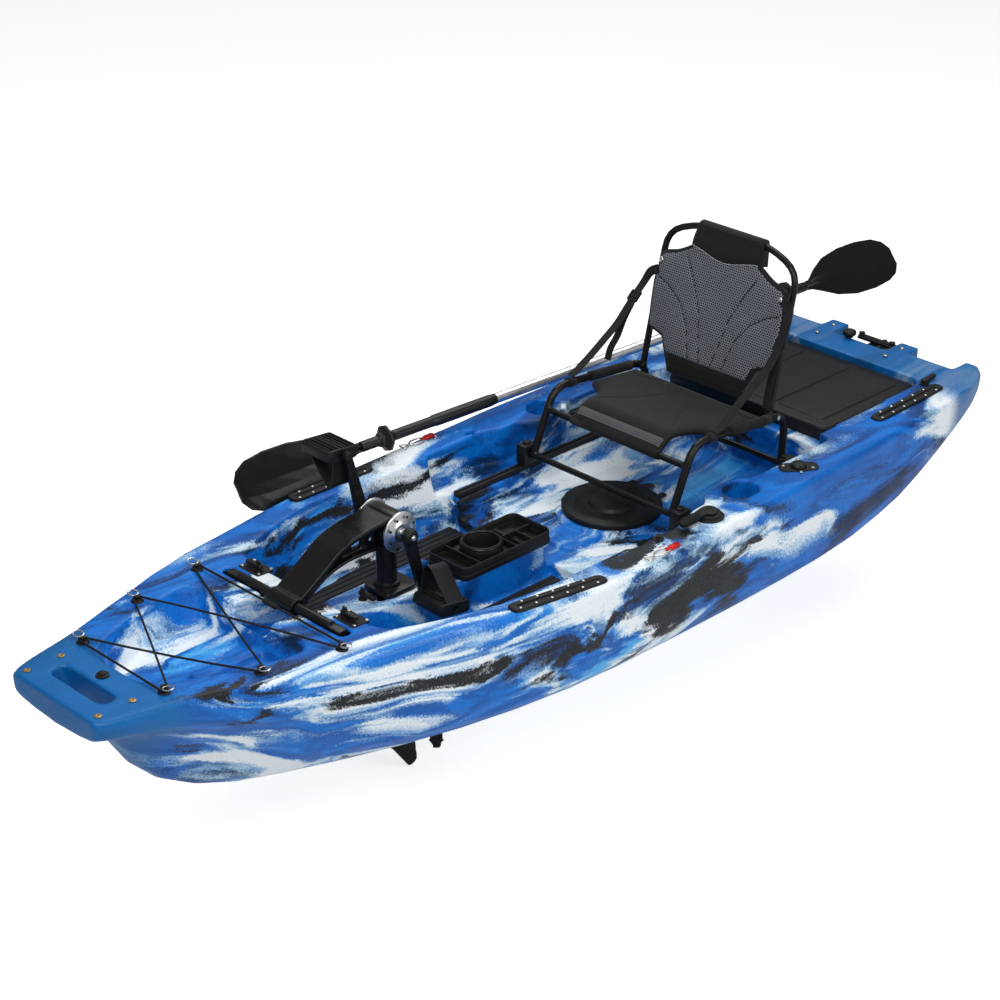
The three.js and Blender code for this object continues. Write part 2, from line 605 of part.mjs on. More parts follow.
function keyholeCut(grow) {
  const tool = (side) => {
    const hole = circle(keyhole.radius + grow, count.small, side * keyhole.x, keyhole.y);
    const ends = [side * keyhole.x, side * (seatArea.halfWidth - keyhole.radius)].sort((a, b) => a - b);
    const half = keyhole.slot / 2 + grow;
    const slot = box(...ends, keyhole.y - half, keyhole.y + half, keyhole.floor - grow, hull.depth + overrun);
    return join(slab(hole, keyhole.floor - grow, hull.depth + overrun), slot);
  };
  return join(tool(-1), tool(1));
}

const wellCut = (grow) => {
  const corners = rectangle(-well.halfWidth, well.halfWidth, well.front, well.back);
  const outline = rounded(corners, well.corner, cornerSteps(grow));
  return slab(grown(outline, grow), -overrun, hull.depth + overrun);
};

function grooveCut() {
  const reach = bar.half + bar.radius;
  const width = bar.radius + deckSeat.clearance * 2;
  const bottom = bar.z - bar.radius - gap;
  return box(-reach, reach, bar.y - width, bar.y + width, bottom, hull.depth + overrun);
}

const cupCut = (grow) =>
  moved(pin('z', cup.body + gap + grow, cup.floor - gap - grow, hull.depth, count.round), 0, cup.y, 0);

const scupperPlaces = [-1, 1].flatMap((side) =>
  [scupper.front, scupper.back].map((y) => [side * scupper.x, y]),
);
const scupperCuts = (radius) =>
  scupperPlaces.map(([x, y]) => moved(pin('z', radius, -overrun, hull.depth + overrun, count.small), x, y, 0));

function sternCuts() {
  const end = halfLength + overrun;
  const top = hull.depth + overrun * 2;
  const notch = box(
    -sternNotch.halfWidth, sternNotch.halfWidth, halfLength - sternNotch.depth, end, -overrun, top,
  );
  const trim = box(-sternBay.inner, sternBay.inner, halfLength - hornTrim, end, -overrun, top);
  const bay = box(sternBay.inner, sternBay.outer, halfLength - sternBay.depth, end, sternBay.floor, top);
  return [notch, trim, bay, mirrored(bay)];
}

// Deck fittings sit in shallow seats, at the height and slope that the deck has where they stand

function deckMatrix(x, y, heading = 0) {
  const span = track.width;
  const slope = Math.atan2(lines.deckTop(y + span / 2) - lines.deckTop(y - span / 2), span);
  const spin = new THREE.Matrix4().makeRotationZ(rad(heading));
  return new THREE.Matrix4()
    .makeTranslation(x, y, lines.deckTop(y) - deckSeat.sink)
    .multiply(new THREE.Matrix4().makeRotationX(slope))
    .multiply(spin);
}

const deckCuts = [];

// Records the seat for an outline and gives the matrix that sets the fitting in it
function seatOnDeck(x, y, heading, outline) {
  const matrix = deckMatrix(x, y, heading);
  const tool = slab(grown(outline, deckSeat.clearance), 0, overrun);
  deckCuts.push(tool.applyMatrix4(matrix));
  return matrix;
}

// The model

const colours = {
  hull: 0x1f63b8, black: 0x17181a, rubber: 0x101112, silver: 0xc8cbcc, aluminium: 0xb9bdc0, red: 0xd2201f,
  webbing: 0x141416, mesh: 0x3a3d42,
};
const material = (color, roughness, metalness = 0) =>
  new THREE.MeshStandardMaterial({ color, roughness, metalness });
const finish = {
  hull: material(colours.hull, 0.45),
  plastic: material(colours.black, 0.5),
  rubber: material(colours.rubber, 0.8),
  silver: material(colours.silver, 0.3, 1),
  painted: material(colours.black, 0.38, 0.2),
  aluminium: material(colours.aluminium, 0.35, 1),
  red: material(colours.red, 0.4, 0.4),
  fabric: material(colours.webbing, 0.9),
  mesh: material(colours.mesh, 0.85),
};

const kayak = new THREE.Group();
const smoothAngle = rad(32);

function pivotAt(parent, x, y, z) {
  const group = new THREE.Group();
  const world = at(x, y, z);
  group.userData.origin = world;
  group.position.copy(world).sub(parent.userData.origin ?? at(0, 0, 0));
  parent.add(group);
  return group;
}

// Adds a piece whose geometry is in the boat's frame to a pivot group
function add(parent, name, geometry, look) {
  const outward = toGeometry(toManifold(geometry));
  const mesh = new THREE.Mesh(toCreasedNormals(outward, smoothAngle), look);
  mesh.name = name;
  mesh.position.copy(parent.userData.origin ?? at(0, 0, 0)).negate();
  parent.add(mesh);
  return mesh;
}

// Adds a piece made about its own origin, set in place by a matrix
function addAt(parent, name, geometry, look, matrix) {
  return add(parent, name, geometry.clone().applyMatrix4(matrix), look);
}

const sides = [['port', 1], ['starboard', -1]];

// Gear tracks

function trackSolid() {
  const corners = rectangle(-track.width / 2, track.width / 2, -track.length / 2, track.length / 2);
  const outline = rounded(corners, track.width / 2);
  const body = eased(outline, gap, track.thick, track.edge);
  const half = track.length / 2 - track.width / 2;
  const floor = track.thick - track.slotDepth;
  const slot = box(-track.slotWidth / 2, track.slotWidth / 2, -half, half, floor, track.thick + overrun);
  return { outline, solid: cut(body, slot) };
}

const trackPiece = trackSolid();
for (const [name, side] of sides) {
  for (const [where, place] of [['front', frontTrack], ['rear', rearTrack]]) {
    const x = side * (lines.deckHalf(place.y) - place.inset + track.width / 2);
    const matrix = seatOnDeck(x, place.y, place.turn * side, trackPiece.outline);
    addAt(kayak, `${where}_track_${name}`, trackPiece.solid, finish.plastic, matrix);
  }
}

// Pad eyes round the front tankwell

// Each eye: share of the half beam, and of the way from the tankwell's front to the rearmost eyes
const eyePlaceShares = [[0.324, 0.0499], [0.488, 0.5287], [0.569, 1]];
const eyeRun = tankwell.back + eye.behind - tankwell.front;
const eyeTop = eye.thick + eye.neckRise;
const eyeProfile = [
  [0, gap], [eye.base, gap], [eye.base, eye.thick * 0.6], [eye.base * 0.7, eye.thick], [eye.neck, eye.thick],
  [eye.neck, eyeTop], [eye.cap, eyeTop], [eye.cap, eyeTop + eye.capThick], [0, eyeTop + eye.capThick + gap],
];
const eyeSolid = turned(eyeProfile, 'z', count.medium);
const studs = {};
for (const [name, side] of sides) {
  eyePlaceShares.forEach(([xShare, yShare], i) => {
    const x = side * xShare * hull.halfBeam;
    const y = tankwell.front + eyeRun * yShare;
    const matrix = seatOnDeck(x, y, 0, circle(eye.base, count.medium));
    addAt(kayak, `pad_eye_${name}_${i + 1}`, eyeSolid, finish.plastic, matrix);
    studs[`${name}${i + 1}`] = at(0, 0, eye.thick + eye.neckRise / 2).applyMatrix4(matrix);
  });
}

// Bungee: one cord laced round the studs, crossing itself twice, its ends held in a small hook.
// Each stop is a stud, the hand it is passed on, and whether the span before it runs high, low or level.
const bungeeRoute = [
  ['port3', 1, 0], ['starboard3', 1, 0], ['port2', -1, -1], ['starboard1', 1, -1], ['port1', 1, 0],
  ['starboard2', -1, 1], ['port3', 1, 1],
];
const wrapSteps = 3;
const humpSteps = 4;

function bungeeSolid() {
  const wrap = eye.neck + bungee.radius + bungee.clearance;
  const stops = bungeeRoute.map(([name, hand, lift]) => ({ centre: studs[name], hand, lift }));
  const spans = stops.slice(1).map((to, i) => {
    const from = stops[i];
    const line = to.centre.clone().sub(from.centre);
    const heading = Math.atan2(line.y, line.x);
    const swing = Math.asin(((from.hand - to.hand) * wrap) / Math.hypot(line.x, line.y));
    const side = heading + swing - turn / 4;
    const touch = ({ centre, hand }) =>
      centre.clone().add(at(hand * wrap * Math.cos(side), hand * wrap * Math.sin(side), 0));
    return { start: touch(from), end: touch(to), lift: to.lift };
  });
  const arc = ({ centre, hand }, from, to) => {
    const first = Math.atan2(from.y - centre.y, from.x - centre.x);
    let sweep = Math.atan2(to.y - centre.y, to.x - centre.x) - first;
    if (hand > 0 && sweep < 0) sweep += turn;
    if (hand < 0 && sweep > 0) sweep -= turn;
    return range(wrapSteps - 1).map((i) => {
      const angle = first + (sweep * (i + 1)) / wrapSteps;
      return at(centre.x + wrap * Math.cos(angle), centre.y + wrap * Math.sin(angle), centre.z);
    });
  };
  const last = spans.at(-1);
  const middle = spans[0].start.clone().lerp(spans[0].end, 0.5);
  const hookHalf = bungee.hookLength / 2;
  const points = [middle.clone().setX(-hookHalf / 2), spans[0].end];
  spans.slice(1).forEach((span, i) => {
    points.push(...arc(stops[i + 1], spans[i].end, span.start), span.start);
    const pieces = span.lift ? humpSteps : 1;
    for (const k of range(pieces - 1)) {
      const t = (k + 1) / pieces;
      const hump = span.lift * bungee.cross * 4 * t * (1 - t);
      points.push(span.start.clone().lerp(span.end, t).add(at(0, 0, hump)));
    }
    points.push(span.end);
  });
  points.push(...arc(stops[0], last.end, spans[0].start), spans[0].start);
  points.push(middle.clone().setX(hookHalf / 2));
  const body = moved(pin('x', bungee.hook, -hookHalf, hookHalf, count.few), 0, middle.y, middle.z);
  return join(tube(points, bungee.radius, count.few), body);
}
add(kayak, 'bungee_cord', bungeeSolid(), finish.rubber);

// Bow drain plug

function plugSolid() {
  const { radius, thick, knob, rise, stem, stemLength } = drainPlug;
  const profile = [
    [0, -stemLength], [stem, -stemLength], [stem, gap], [radius, gap], [radius, thick], [knob, thick],
    [knob, thick + rise], [0, thick + rise],
  ];
  return turned(profile, 'z', count.medium);
}
const plugMatrix = seatOnDeck(0, drainPlug.y, 0, circle(drainPlug.radius, count.medium));
const plugHole = pin(
  'z', drainPlug.stem + deckSeat.clearance, -drainPlug.stemLength - deckSeat.clearance, overrun,
);
deckCuts.push(plugHole.applyMatrix4(plugMatrix));
addAt(kayak, 'bow_drain_plug', plugSolid(), finish.plastic, plugMatrix);

// Foot mats, ribbed lengthwise

function matSolid() {
  const inside = sharedOutline(footFloorShares, footwell);
  const z = footwell.floor + gap;
  const reach = footwell.halfWidth;
  const area = slab(grown(inside, -mat.gutter), z, z + mat.thick + mat.rib);
  const keep = box(mat.inner, reach, mat.front, mat.back, z - overrun, z + overrun);
  const ribbed = common(area, keep);
  const grooves = range(Math.floor((reach - mat.inner) / mat.pitch)).map((i) => {
    const x = mat.inner + mat.ribWidth + i * mat.pitch;
    const ends = [mat.front - overrun, mat.back + overrun];
    return box(x, x + mat.pitch - mat.ribWidth, ...ends, z + mat.thick, z + overrun);
  });
  const drain = pin('z', scupper.radius + mat.gutter, 0, z + overrun, count.small);
  return cut(ribbed, grooves, moved(drain, scupper.x, scupper.front, 0));
}
add(kayak, 'floor_mat_port', matSolid(), finish.rubber);
add(kayak, 'floor_mat_starboard', mirrored(matSolid()), finish.rubber);

// Console tray and cup holder on the ridge

function traySolid() {
  const base = spine.top + gap;
  const outline = rounded(rectangle(-tray.halfWidth, tray.halfWidth, tray.front, tray.back), tray.corner, 3);
  const body = eased(outline, base, base + tray.height, tray.base);
  const reach = tray.halfWidth - tray.rim * 2;
  const behindCup = cup.y + cup.outer + tray.bay;
  const bays = [
    [tray.front + tray.rim * 2, cup.y - cup.outer - tray.bay],
    [behindCup, behindCup + tray.bay * 3],
    [behindCup + tray.bay * 4, tray.back - tray.rim * 2],
  ].map(([y0, y1]) => {
    const bay = rounded(rectangle(-reach, reach, y0, y1), tray.corner / 2);
    return slab(bay, base + tray.base, base + overrun);
  });
  const seatHole = moved(pin('z', cup.outer + gap, base + tray.base, base + overrun, count.round), 0, cup.y, 0);
  const bodyHole = moved(pin('z', cup.body + gap, base - overrun, base + overrun, count.round), 0, cup.y, 0);
  return cut(body, bays, seatHole, bodyHole);
}
add(kayak, 'console_tray', traySolid(), finish.plastic);

function cupSolid() {
  const seatLevel = spine.top + tray.base + gap * 2;
  const profile = [
    [0, cup.floor], [cup.body, cup.floor], [cup.body, seatLevel], [cup.outer, seatLevel],
    [cup.outer, cup.rim - cup.base], [cup.outer - cup.base, cup.rim], [cup.inner, cup.rim],
    [cup.inner, seatLevel + cup.collar], [cup.inner - cup.base, cup.floor + cup.base],
    [0, cup.floor + cup.base],
  ];
  return moved(turned(profile, 'z', count.round), 0, cup.y, 0);
}
add(kayak, 'cup_holder', cupSolid(), finish.plastic);

// Seat rails on the side ledges

const railTop = seatArea.floor + gap + rail.height;

function railSolid() {
  const z = seatArea.floor + gap;
  const body = box(rail.x - rail.width / 2, rail.x + rail.width / 2, rail.front, rail.back, z, z + rail.height);
  const half = rail.slot / 2;
  const ends = [rail.front - overrun, rail.back + overrun];
  const slot = box(rail.x - half, rail.x + half, ...ends, railTop - rail.slotDepth, railTop + overrun);
  return cut(body, slot);
}
add(kayak, 'seat_rail_port', railSolid(), finish.plastic);
add(kayak, 'seat_rail_starboard', mirrored(railSolid()), finish.plastic);

// Floor hatch lid

function lidSolid() {
  const base = hatch.ringTop + gap;
  const top = base + lid.thick;
  const step = lid.radius - lid.grip;
  const profile = [
    [0, base - lid.plugDepth], [lid.plug, base - lid.plugDepth], [lid.plug, base], [lid.radius, base],
    [lid.radius, top - lid.dome / 2], [lid.radius - lid.dome, top], [lid.grip + step / 2, top],
    [lid.grip + step / 2 - lid.dome, top - lid.dome / 2], [lid.grip, top - lid.dome / 2],
    [lid.grip - lid.dome, top + lid.dome], [0, top + lid.dome],
  ];
  const tabs = [-1, 1].map((side) => {
    const x = side * lid.tabX;
    const reach = lid.radius + lid.tabReach / 2;
    return box(x - lid.tab / 2, x + lid.tab / 2, lid.radius * 0.8, reach, base + lid.dome / 2, top - lid.dome);
  });
  return moved(join(turned(profile, 'z', count.round), tabs), 0, hatch.y, 0);
}
const hatchPivot = pivotAt(kayak, 0, hatch.y, hatch.ringTop);
add(hatchPivot, 'floor_hatch_lid', lidSolid(), finish.plastic);

// Rear tank lid, hinged along its front edge

const rearLidTop = rearRim.floor + gap + rearLid.thick;

function rearLidSolid() {
  const base = rearRim.floor + gap;
  const corners = rectangle(-rearLid.halfWidth, rearLid.halfWidth, rearLid.front, rearLid.back);
  const plate = eased(rounded(corners, rearLid.corner, 3), base, rearLidTop - rearLid.rib, rearLid.rib);
  const skirtHalf = sill.halfWidth - rearLid.skirt * 2;
  const skirtBack = rearLid.front + rearLid.skirt;
  const skirt = box(-skirtHalf, skirtHalf, rearLid.front, skirtBack, sill.floor + gap * 2, base + rearLid.rib);
  const innerX = rearLid.halfWidth - rearLid.border;
  const third = (innerX * 2) / 3;
  const panels = range(3).map((i) => {
    const x0 = -innerX + i * third + rearLid.skirt / 2;
    const ends = [rearLid.front + rearLid.border, rearLid.back - rearLid.border];
    const shape = rounded(rectangle(x0, x0 + third - rearLid.skirt, ...ends), rearLid.skirt);
    return eased(shape, base + rearLid.rib, rearLidTop, rearLid.rib);
  });
  return join(plate, skirt, panels);
}
const rearLidPivot = pivotAt(kayak, 0, rearLid.front, rearLidTop);
add(rearLidPivot, 'rear_hatch_lid', rearLidSolid(), finish.plastic);

// Turn hook beside the rear lid

const hookMatrix = seatOnDeck(hook.x, hook.y, 0, circle(hook.radius * 1.4, count.medium));
function hookSolid() {
  const foot = pin('z', hook.radius * 1.4, gap, hook.thick, count.medium);
  const post = pin('z', hook.radius, hook.thick / 2, hook.thick * 2, count.small);
  const outline = rounded(
    rectangle(-hook.width / 2, hook.width / 2, -hook.radius, hook.arm), hook.width / 2, 3,
  );
  return join(foot, post, eased(outline, hook.thick * 1.2, hook.thick * 2.2, gap * 4));
}
const hookPivot = pivotAt(kayak, hook.x, hook.y, lines.deckTop(hook.y));
addAt(hookPivot, 'rear_hatch_hook', hookSolid(), finish.plastic, hookMatrix);

// Steering dial and lever

const dialMatrix = seatOnDeck(steering.x, steering.y, 0, circle(steering.radius, count.round));
function dialSolid() {
  const { radius, base, dial, dialThick, thick } = steering;
  const stem = dial / 3;
  const top = base + dialThick;
  const profile = [
    [0, gap], [radius, gap], [radius, base - gap * 5], [radius - gap * 5, base], [dial, base], [dial, top],
    [stem, top], [stem, top + thick], [0, top + thick],
  ];
  return turned(profile, 'z', count.round);
}
addAt(kayak, 'steering_dial', dialSolid(), finish.plastic, dialMatrix);

function leverSolid() {
  const z = steering.base + steering.dialThick + gap;
  const { arm, width, thick, dial, ball } = steering;
  const head = pin('z', dial * 0.72, z, z + thick, count.medium);
  const armOutline = rounded(rectangle(-width / 2, width / 2, -arm, 0), width / 3);
  const bore = pin('z', clearing(dial / 3, count.medium), z - overrun, z + overrun, count.medium);
  const sphere = new THREE.SphereGeometry(ball, count.small, count.few).translate(0, -arm, z + thick);
  return join(cut(join(head, eased(armOutline, z, z + thick, gap * 4)), bore), sphere);
}
const steeringOrigin = at(0, 0, 0).applyMatrix4(dialMatrix);
const steeringPivot = pivotAt(kayak, ...steeringOrigin.toArray());
addAt(steeringPivot, 'steering_lever', leverSolid(), finish.plastic, dialMatrix);

// Flush rod holder, closed by its cap

const rodCorners = rectangle(-rod.length / 2, rod.length / 2, -rod.width / 2, rod.width / 2);
const rodOutline = rounded(rodCorners, rod.width / 2, 4);
const rodMatrix = seatOnDeck(rod.x, rod.y, rod.turn, rodOutline);
const rodHole = pin('z', rod.tube + deckSeat.clearance, -rod.depth - overrun, overrun, count.medium);
deckCuts.push(rodHole.applyMatrix4(rodMatrix));
function rodSolid() {
  const collar = eased(rodOutline, gap, rod.thick, gap * 4);
  const sleeve = pin('z', rod.tube, -rod.depth, rod.thick, count.medium);
  return cut(
    join(collar, sleeve), pin('z', rod.bore, -rod.depth + rod.thick, rod.thick + overrun, count.medium),
  );
}
addAt(kayak, 'rod_holder_port', rodSolid(), finish.plastic, rodMatrix);
function rodCapSolid() {
  const plug = pin('z', rod.bore - gap, -rod.bore, rod.thick + gap * 2, count.medium);
  const top = rod.thick + rod.cap;
  const profile = [
    [0, rod.thick + gap], [rod.tube, rod.thick + gap], [rod.tube, rod.cap], [rod.bore, top], [0, top],
  ];
  const crown = turned(profile, 'z', count.medium);
  return join(plug, crown);
}
addAt(kayak, 'rod_holder_cap', rodCapSolid(), finish.plastic, rodMatrix);

// Deck eyelet with its knob

const deckEyeMatrix = seatOnDeck(deckEye.x, deckEye.y, 0, circle(deckEye.radius * 0.7, count.medium));
const deckEyeProfile = [
  [0, gap], [deckEye.radius * 0.7, gap], [deckEye.radius * 0.7, deckEye.thick], [deckEye.knob, deckEye.thick],
  [deckEye.knob * 0.7, deckEye.thick + deckEye.rise / 2], [deckEye.knob, deckEye.thick + deckEye.rise],
  [0, deckEye.thick + deckEye.rise + gap],
];
addAt(kayak, 'deck_eyelet_port', turned(deckEyeProfile, 'z', count.medium), finish.plastic, deckEyeMatrix);

// Snap clips that lie on the gunwale, each held by a screwed foot

const snapShares = [[0, -0.3], [0.6, -0.2], [1, 0], [1, 0.4], [0.7, 0.55], [0, 0.6]];
const loopShares = [[1, 0.5], [0.6, 1], [-0.6, 1], [-1, 0.5]];

function clipSolid() {
  const z = deckSeat.sink + clip.body + gap * 3;
  const half = clip.reach / 2;
  const foot = pin('z', clip.foot, gap, clip.thick + deckSeat.sink, count.small);
  const body = turned(snapShares.map(([r, h]) => [r * clip.body, h * half]), 'y', count.few).translate(0, 0, z);
  const loop = (from, to, width) => {
    const corners = loopShares.map(([w, run]) => at(w * width, from + (to - from) * run, z));
    const path = [at(clip.wire, from, z), ...corners, at(-clip.wire, from, z)];
    return tube(bent(path, clip.wire * 2, 1), clip.wire, count.few);
  };
  return join(foot, body, loop(half * 0.5, half, clip.eye / 2), loop(-half * 0.15, -half, clip.eye * 0.8));
}
const clipPiece = clipSolid();
for (const [name, side] of sides) {
  const x = side * (lines.deckHalf(clip.y) - clip.inset);
  const matrix = seatOnDeck(x, clip.y, 0, circle(clip.foot, count.small));
  addAt(kayak, `safety_clip_${name}`, clipPiece, finish.red, matrix);
}

// Hull

function hullSolid() {
  const { wall } = hull;
  const whole = stations(count.hullStations, -halfLength, halfLength);
  const outer = loft(whole.map((y) => hullRing(y, 0, count.corner)));
  const inside = stations(count.cavityStations, -halfLength + hull.cavityInset, halfLength - hull.cavityAft);
  const hollow = loft(inside.map((y) => hullRing(y, wall, 1)));
  const tools = [
    tankwellCut, footwellCut, seatAreaCut, seatFloorCut, rearTankCut, recessCut, keyholeCut, wellCut, cupCut,
    (grow) => straightPocket(channel, grow),
  ];
  const chamber = cut(hollow, tools.map((tool) => tool(wall)), scupperCuts(scupper.radius + scupper.wall));
  const mouth = moved(pin('z', hatch.mouth, seatFloor.floor - overrun, hull.depth, count.round), 0, hatch.y, 0);
  const underside = box(-hull.halfBeam, hull.halfBeam, -hull.length, hull.length, -hull.depth, 0);
  return cut(
    outer, tools.map((tool) => tool(0)), bowSlotCut(0), grooveCut(), sternCuts(), deckCuts,
    scupperCuts(scupper.radius), chamber, mouth, underside,
  );
}
add(kayak, 'hull', hullSolid(), finish.hull);

// Drive: the crossbar and the arch carry the crank housing, the leg and the lower unit

const drive = pivotAt(kayak, 0, bar.y, bar.z);

function barSolid() {
  const body = pin('x', bar.radius, -bar.half, bar.half, count.medium);
  const end = -bar.half + bar.radius * 3;
  const flat = box(-bar.half - overrun, end, -bar.radius, bar.radius, bar.tip, bar.radius + overrun);
  return moved(cut(body, flat, mirrored(flat)), 0, bar.y, bar.z);
}
add(drive, 'drive_crossbar', barSolid(), finish.painted);

// Arch: shares of the way from the crossbar to the hub, in length and in rise
const archTopShares = [[0.02, 0.1], [0.24, 0.6], [0.45, 1.11], [0.64, 1.31], [0.86, 1.4], [1.02, 1.47]];
const archRibShares = [[0.12, -0.2], [0.34, 0.34], [0.57, 0.55], [0.74, 0.55], [0.9, 0.52]];
const windowShares = [[0.08, 0.2], [0.34, 0.48], [0.6, 0.72], [0.82, 0.92]];
const windowBorderShare = 0.16;

function archSolid() {
  const run = hub.y - bar.y;
  const rise = hub.z - bar.z;
  const curveOf = (shares) => {
    const points = shares.map(([y, z]) => at(0, bar.y + run * y, bar.z + rise * z));
    return new THREE.CatmullRomCurve3(points).getPoints(count.small);
  };
  const topLine = curveOf(archTopShares);
  const ribLine = curveOf(archRibShares);
  const acrossBoat = at(1, 0, 0);
  const top = webbing(topLine, acrossBoat, arch.half * 2, arch.plate);
  const rib = webbing(ribLine, acrossBoat, arch.ribHalf * 2, arch.rib);
  const side = (points) => points.map((p) => [p.y, p.z]);
  const web = sideways([...side(topLine), ...side(ribLine).reverse()], -arch.web, arch.web);
  const pick = (line, share, toward) => {
    const i = share * (line.length - 1);
    const p = line[Math.floor(i)].clone().lerp(line[Math.ceil(i)], i % 1);
    return p.lerp(toward[Math.round(i)], windowBorderShare);
  };
  const windows = windowShares.map(([from, to]) => {
    const upper = [pick(topLine, from, ribLine), pick(topLine, to, ribLine)];
    const lowerEdge = [pick(ribLine, to, topLine), pick(ribLine, from, topLine)];
    return sideways(side([...upper, ...lowerEdge]), -arch.half, arch.half);
  });
  const end = arch.half + overrun;
  const sleeve = moved(pin('x', arch.sleeve, -arch.half, arch.half, count.medium), 0, bar.y, bar.z);
  const barHole = moved(pin('x', bar.radius + gap, -end, end, count.medium), 0, bar.y, bar.z);
  const hubHole = moved(pin('x', hub.radius + gap, -end, end, count.round), 0, hub.y, hub.z);
  return cut(join(top, rib, cut(web, windows), sleeve), barHole, hubHole);
}
add(drive, 'drive_arch', archSolid(), finish.painted);

function housingSolid() {
  const body = pin('x', hub.radius, -hub.half, hub.half, count.round);
  const bore = pin('x', hub.bore, -hub.half - overrun, hub.half + overrun, count.round);
  const port = pin('z', hub.port, -hub.radius - overrun, 0, count.medium);
  return moved(cut(body, bore, port), 0, hub.y, hub.z);
}
add(drive, 'crank_housing', housingSolid(), finish.painted);

function flangeSolid() {
  const { radius, thick, rim, boss } = flange;
  const bore = crank.axle + gap;
  const x0 = hub.half + gap;
  const profile = [
    [bore, x0], [radius, x0], [radius, x0 + rim], [radius - rim, x0 + rim + gap * 4],
    [boss + rim, x0 + rim * 1.6],
    [boss, x0 + thick], [bore, x0 + thick], [bore, x0],
  ];
  return moved(turned(profile, 'x', count.round), 0, hub.y, hub.z);
}
add(drive, 'crank_flange_port', flangeSolid(), finish.silver);
add(drive, 'crank_flange_starboard', mirrored(flangeSolid()), finish.silver);

function legSolid() {
  const base = pod.top + gap;
  const body = pin('z', leg.radius, base, hub.z, count.medium);
  const neck = pin('z', leg.radius * 1.25, base, base + leg.collar * 2, count.medium);
  const corners = rectangle(-leg.collarHalf, leg.collarHalf, -leg.collarFront, leg.collarBack);
  const collar = eased(rounded(corners, leg.collar * 2, 3), base, base + leg.collar, gap * 6);
  const whole = moved(join(body, neck, collar), 0, hub.y, 0);
  const hubHole = moved(pin('x', hub.radius + gap, -hub.half, hub.half, count.round), 0, hub.y, hub.z);
  const bore = moved(pin('z', leg.bore, base - overrun, hub.z, count.medium), 0, hub.y, 0);
  return cut(whole, hubHole, bore);
}
add(drive, 'drive_leg', legSolid(), finish.painted);

// Lower unit: a thin strut, the gear pod and the skeg below it
const strutShares = [[0, 0], [0.14, 1], [0.66, 1], [1, 0.3]];
const podShares = [[0, 0], [0.62, 0.06], [1, 0.22], [1, 0.85], [0.9, 1], [0, 1]];
const skegShares = [[0.03, 0.1], [0.3, 0.48], [0.6, 0.98], [0.76, 0.9], [0.7, 0.25], [0.72, 0]];

function lowerSolid() {
  const { half, front, back: rear, z, nose, tail, radius, bore } = lower;
  const foil = strutShares.map(([y, x]) => [x * half, front + (rear - front) * y]);
  const strut = slab(rounded([...foil, ...foil.slice(1).map(([x, y]) => [-x, y]).reverse()], half), z, pod.top);
  const length = tail - nose;
  const gearPod = turned(podShares.map(([r, y]) => [r * radius, nose + length * y]), 'y', count.medium);
  const finOutline = skegShares.map(([y, d]) => [nose + length * y, z + (skeg.tip - z) * d]);
  const fin = sideways(rounded(finOutline, radius / 3), -skeg.half, skeg.half);
  const shaftBore = pin('z', clearing(shaft.radius, count.small), z, pod.top + overrun, count.small);
  const bearing = tail - radius;
  const gearProfile = [
    [0, nose + radius], [bore, nose + radius], [bore, bearing], [shaft.tail + gap, bearing],
    [shaft.tail + gap, tail + overrun], [0, tail + overrun],
  ];
  const gearBore = turned(gearProfile, 'y', count.medium);
  return cut(
    join(strut, moved(gearPod, 0, 0, z), fin), moved(shaftBore, 0, hub.y, 0), moved(gearBore, 0, 0, z),
  );
}
add(drive, 'lower_unit', lowerSolid(), finish.painted);

// Gear train: bevel gears are plain pitch cones that run with a little clearance

const verticalPivot = pivotAt(drive, 0, hub.y, hub.z);
const cranks = pivotAt(drive, 0, hub.y, hub.z);
const propellerPivot = pivotAt(drive, 0, hub.y, lower.z);

function axleSolid() {
  const { crown, crownX, crownThick, pinionFace } = bevel;
  const inner = crown - pinionFace;
  const innerX = (inner * crownX) / crown + shaft.running;
  const end = crank.x - crank.thick / 2 - gap;
  const { axle } = crank;
  const rear = crownX + crownThick;
  const profile = [
    [0, -end], [axle, -end], [axle, innerX], [inner, innerX], [crown, crownX + shaft.running], [crown, rear],
    [axle, rear], [axle, end], [0, end],
  ];
  return moved(turned(profile, 'x', count.medium), 0, hub.y, hub.z);
}
add(cranks, 'crank_axle', axleSolid(), finish.silver);

function verticalSolid() {
  const { crown, crownX, pinionFace, foot, footDrop, footThick } = bevel;
  const low = lower.z - hub.z + footDrop + shaft.running;
  const top = -(crown - pinionFace) - shaft.running;
  const tip = ((crown - pinionFace) * crownX) / crown - shaft.running;
  const profile = [
    [0, low], [footDrop, low], [foot, low + gap], [foot, low + footThick], [shaft.radius, low + footThick],
    [shaft.radius, -crown - pinionFace / 2], [crownX - shaft.running, -crown], [tip, top], [0, top],
  ];
  return moved(turned(profile, 'z', count.small), 0, hub.y, hub.z);
}
add(verticalPivot, 'vertical_shaft', verticalSolid(), finish.silver);

// Propeller on its shaft, with the small bevel gear in the pod

// Each row: share of the reach, width share, untwist share
const propellerShares = [[0, 0.72, 0], [0.3, 1, 0.25], [0.62, 1.12, 0.55], [0.88, 0.9, 0.8], [1, 0.42, 1]];
const sectionShares = [[-0.5, 0], [-0.2, 0.5], [0.25, 0.45], [0.5, 0], [0.25, -0.3], [-0.2, -0.4]];

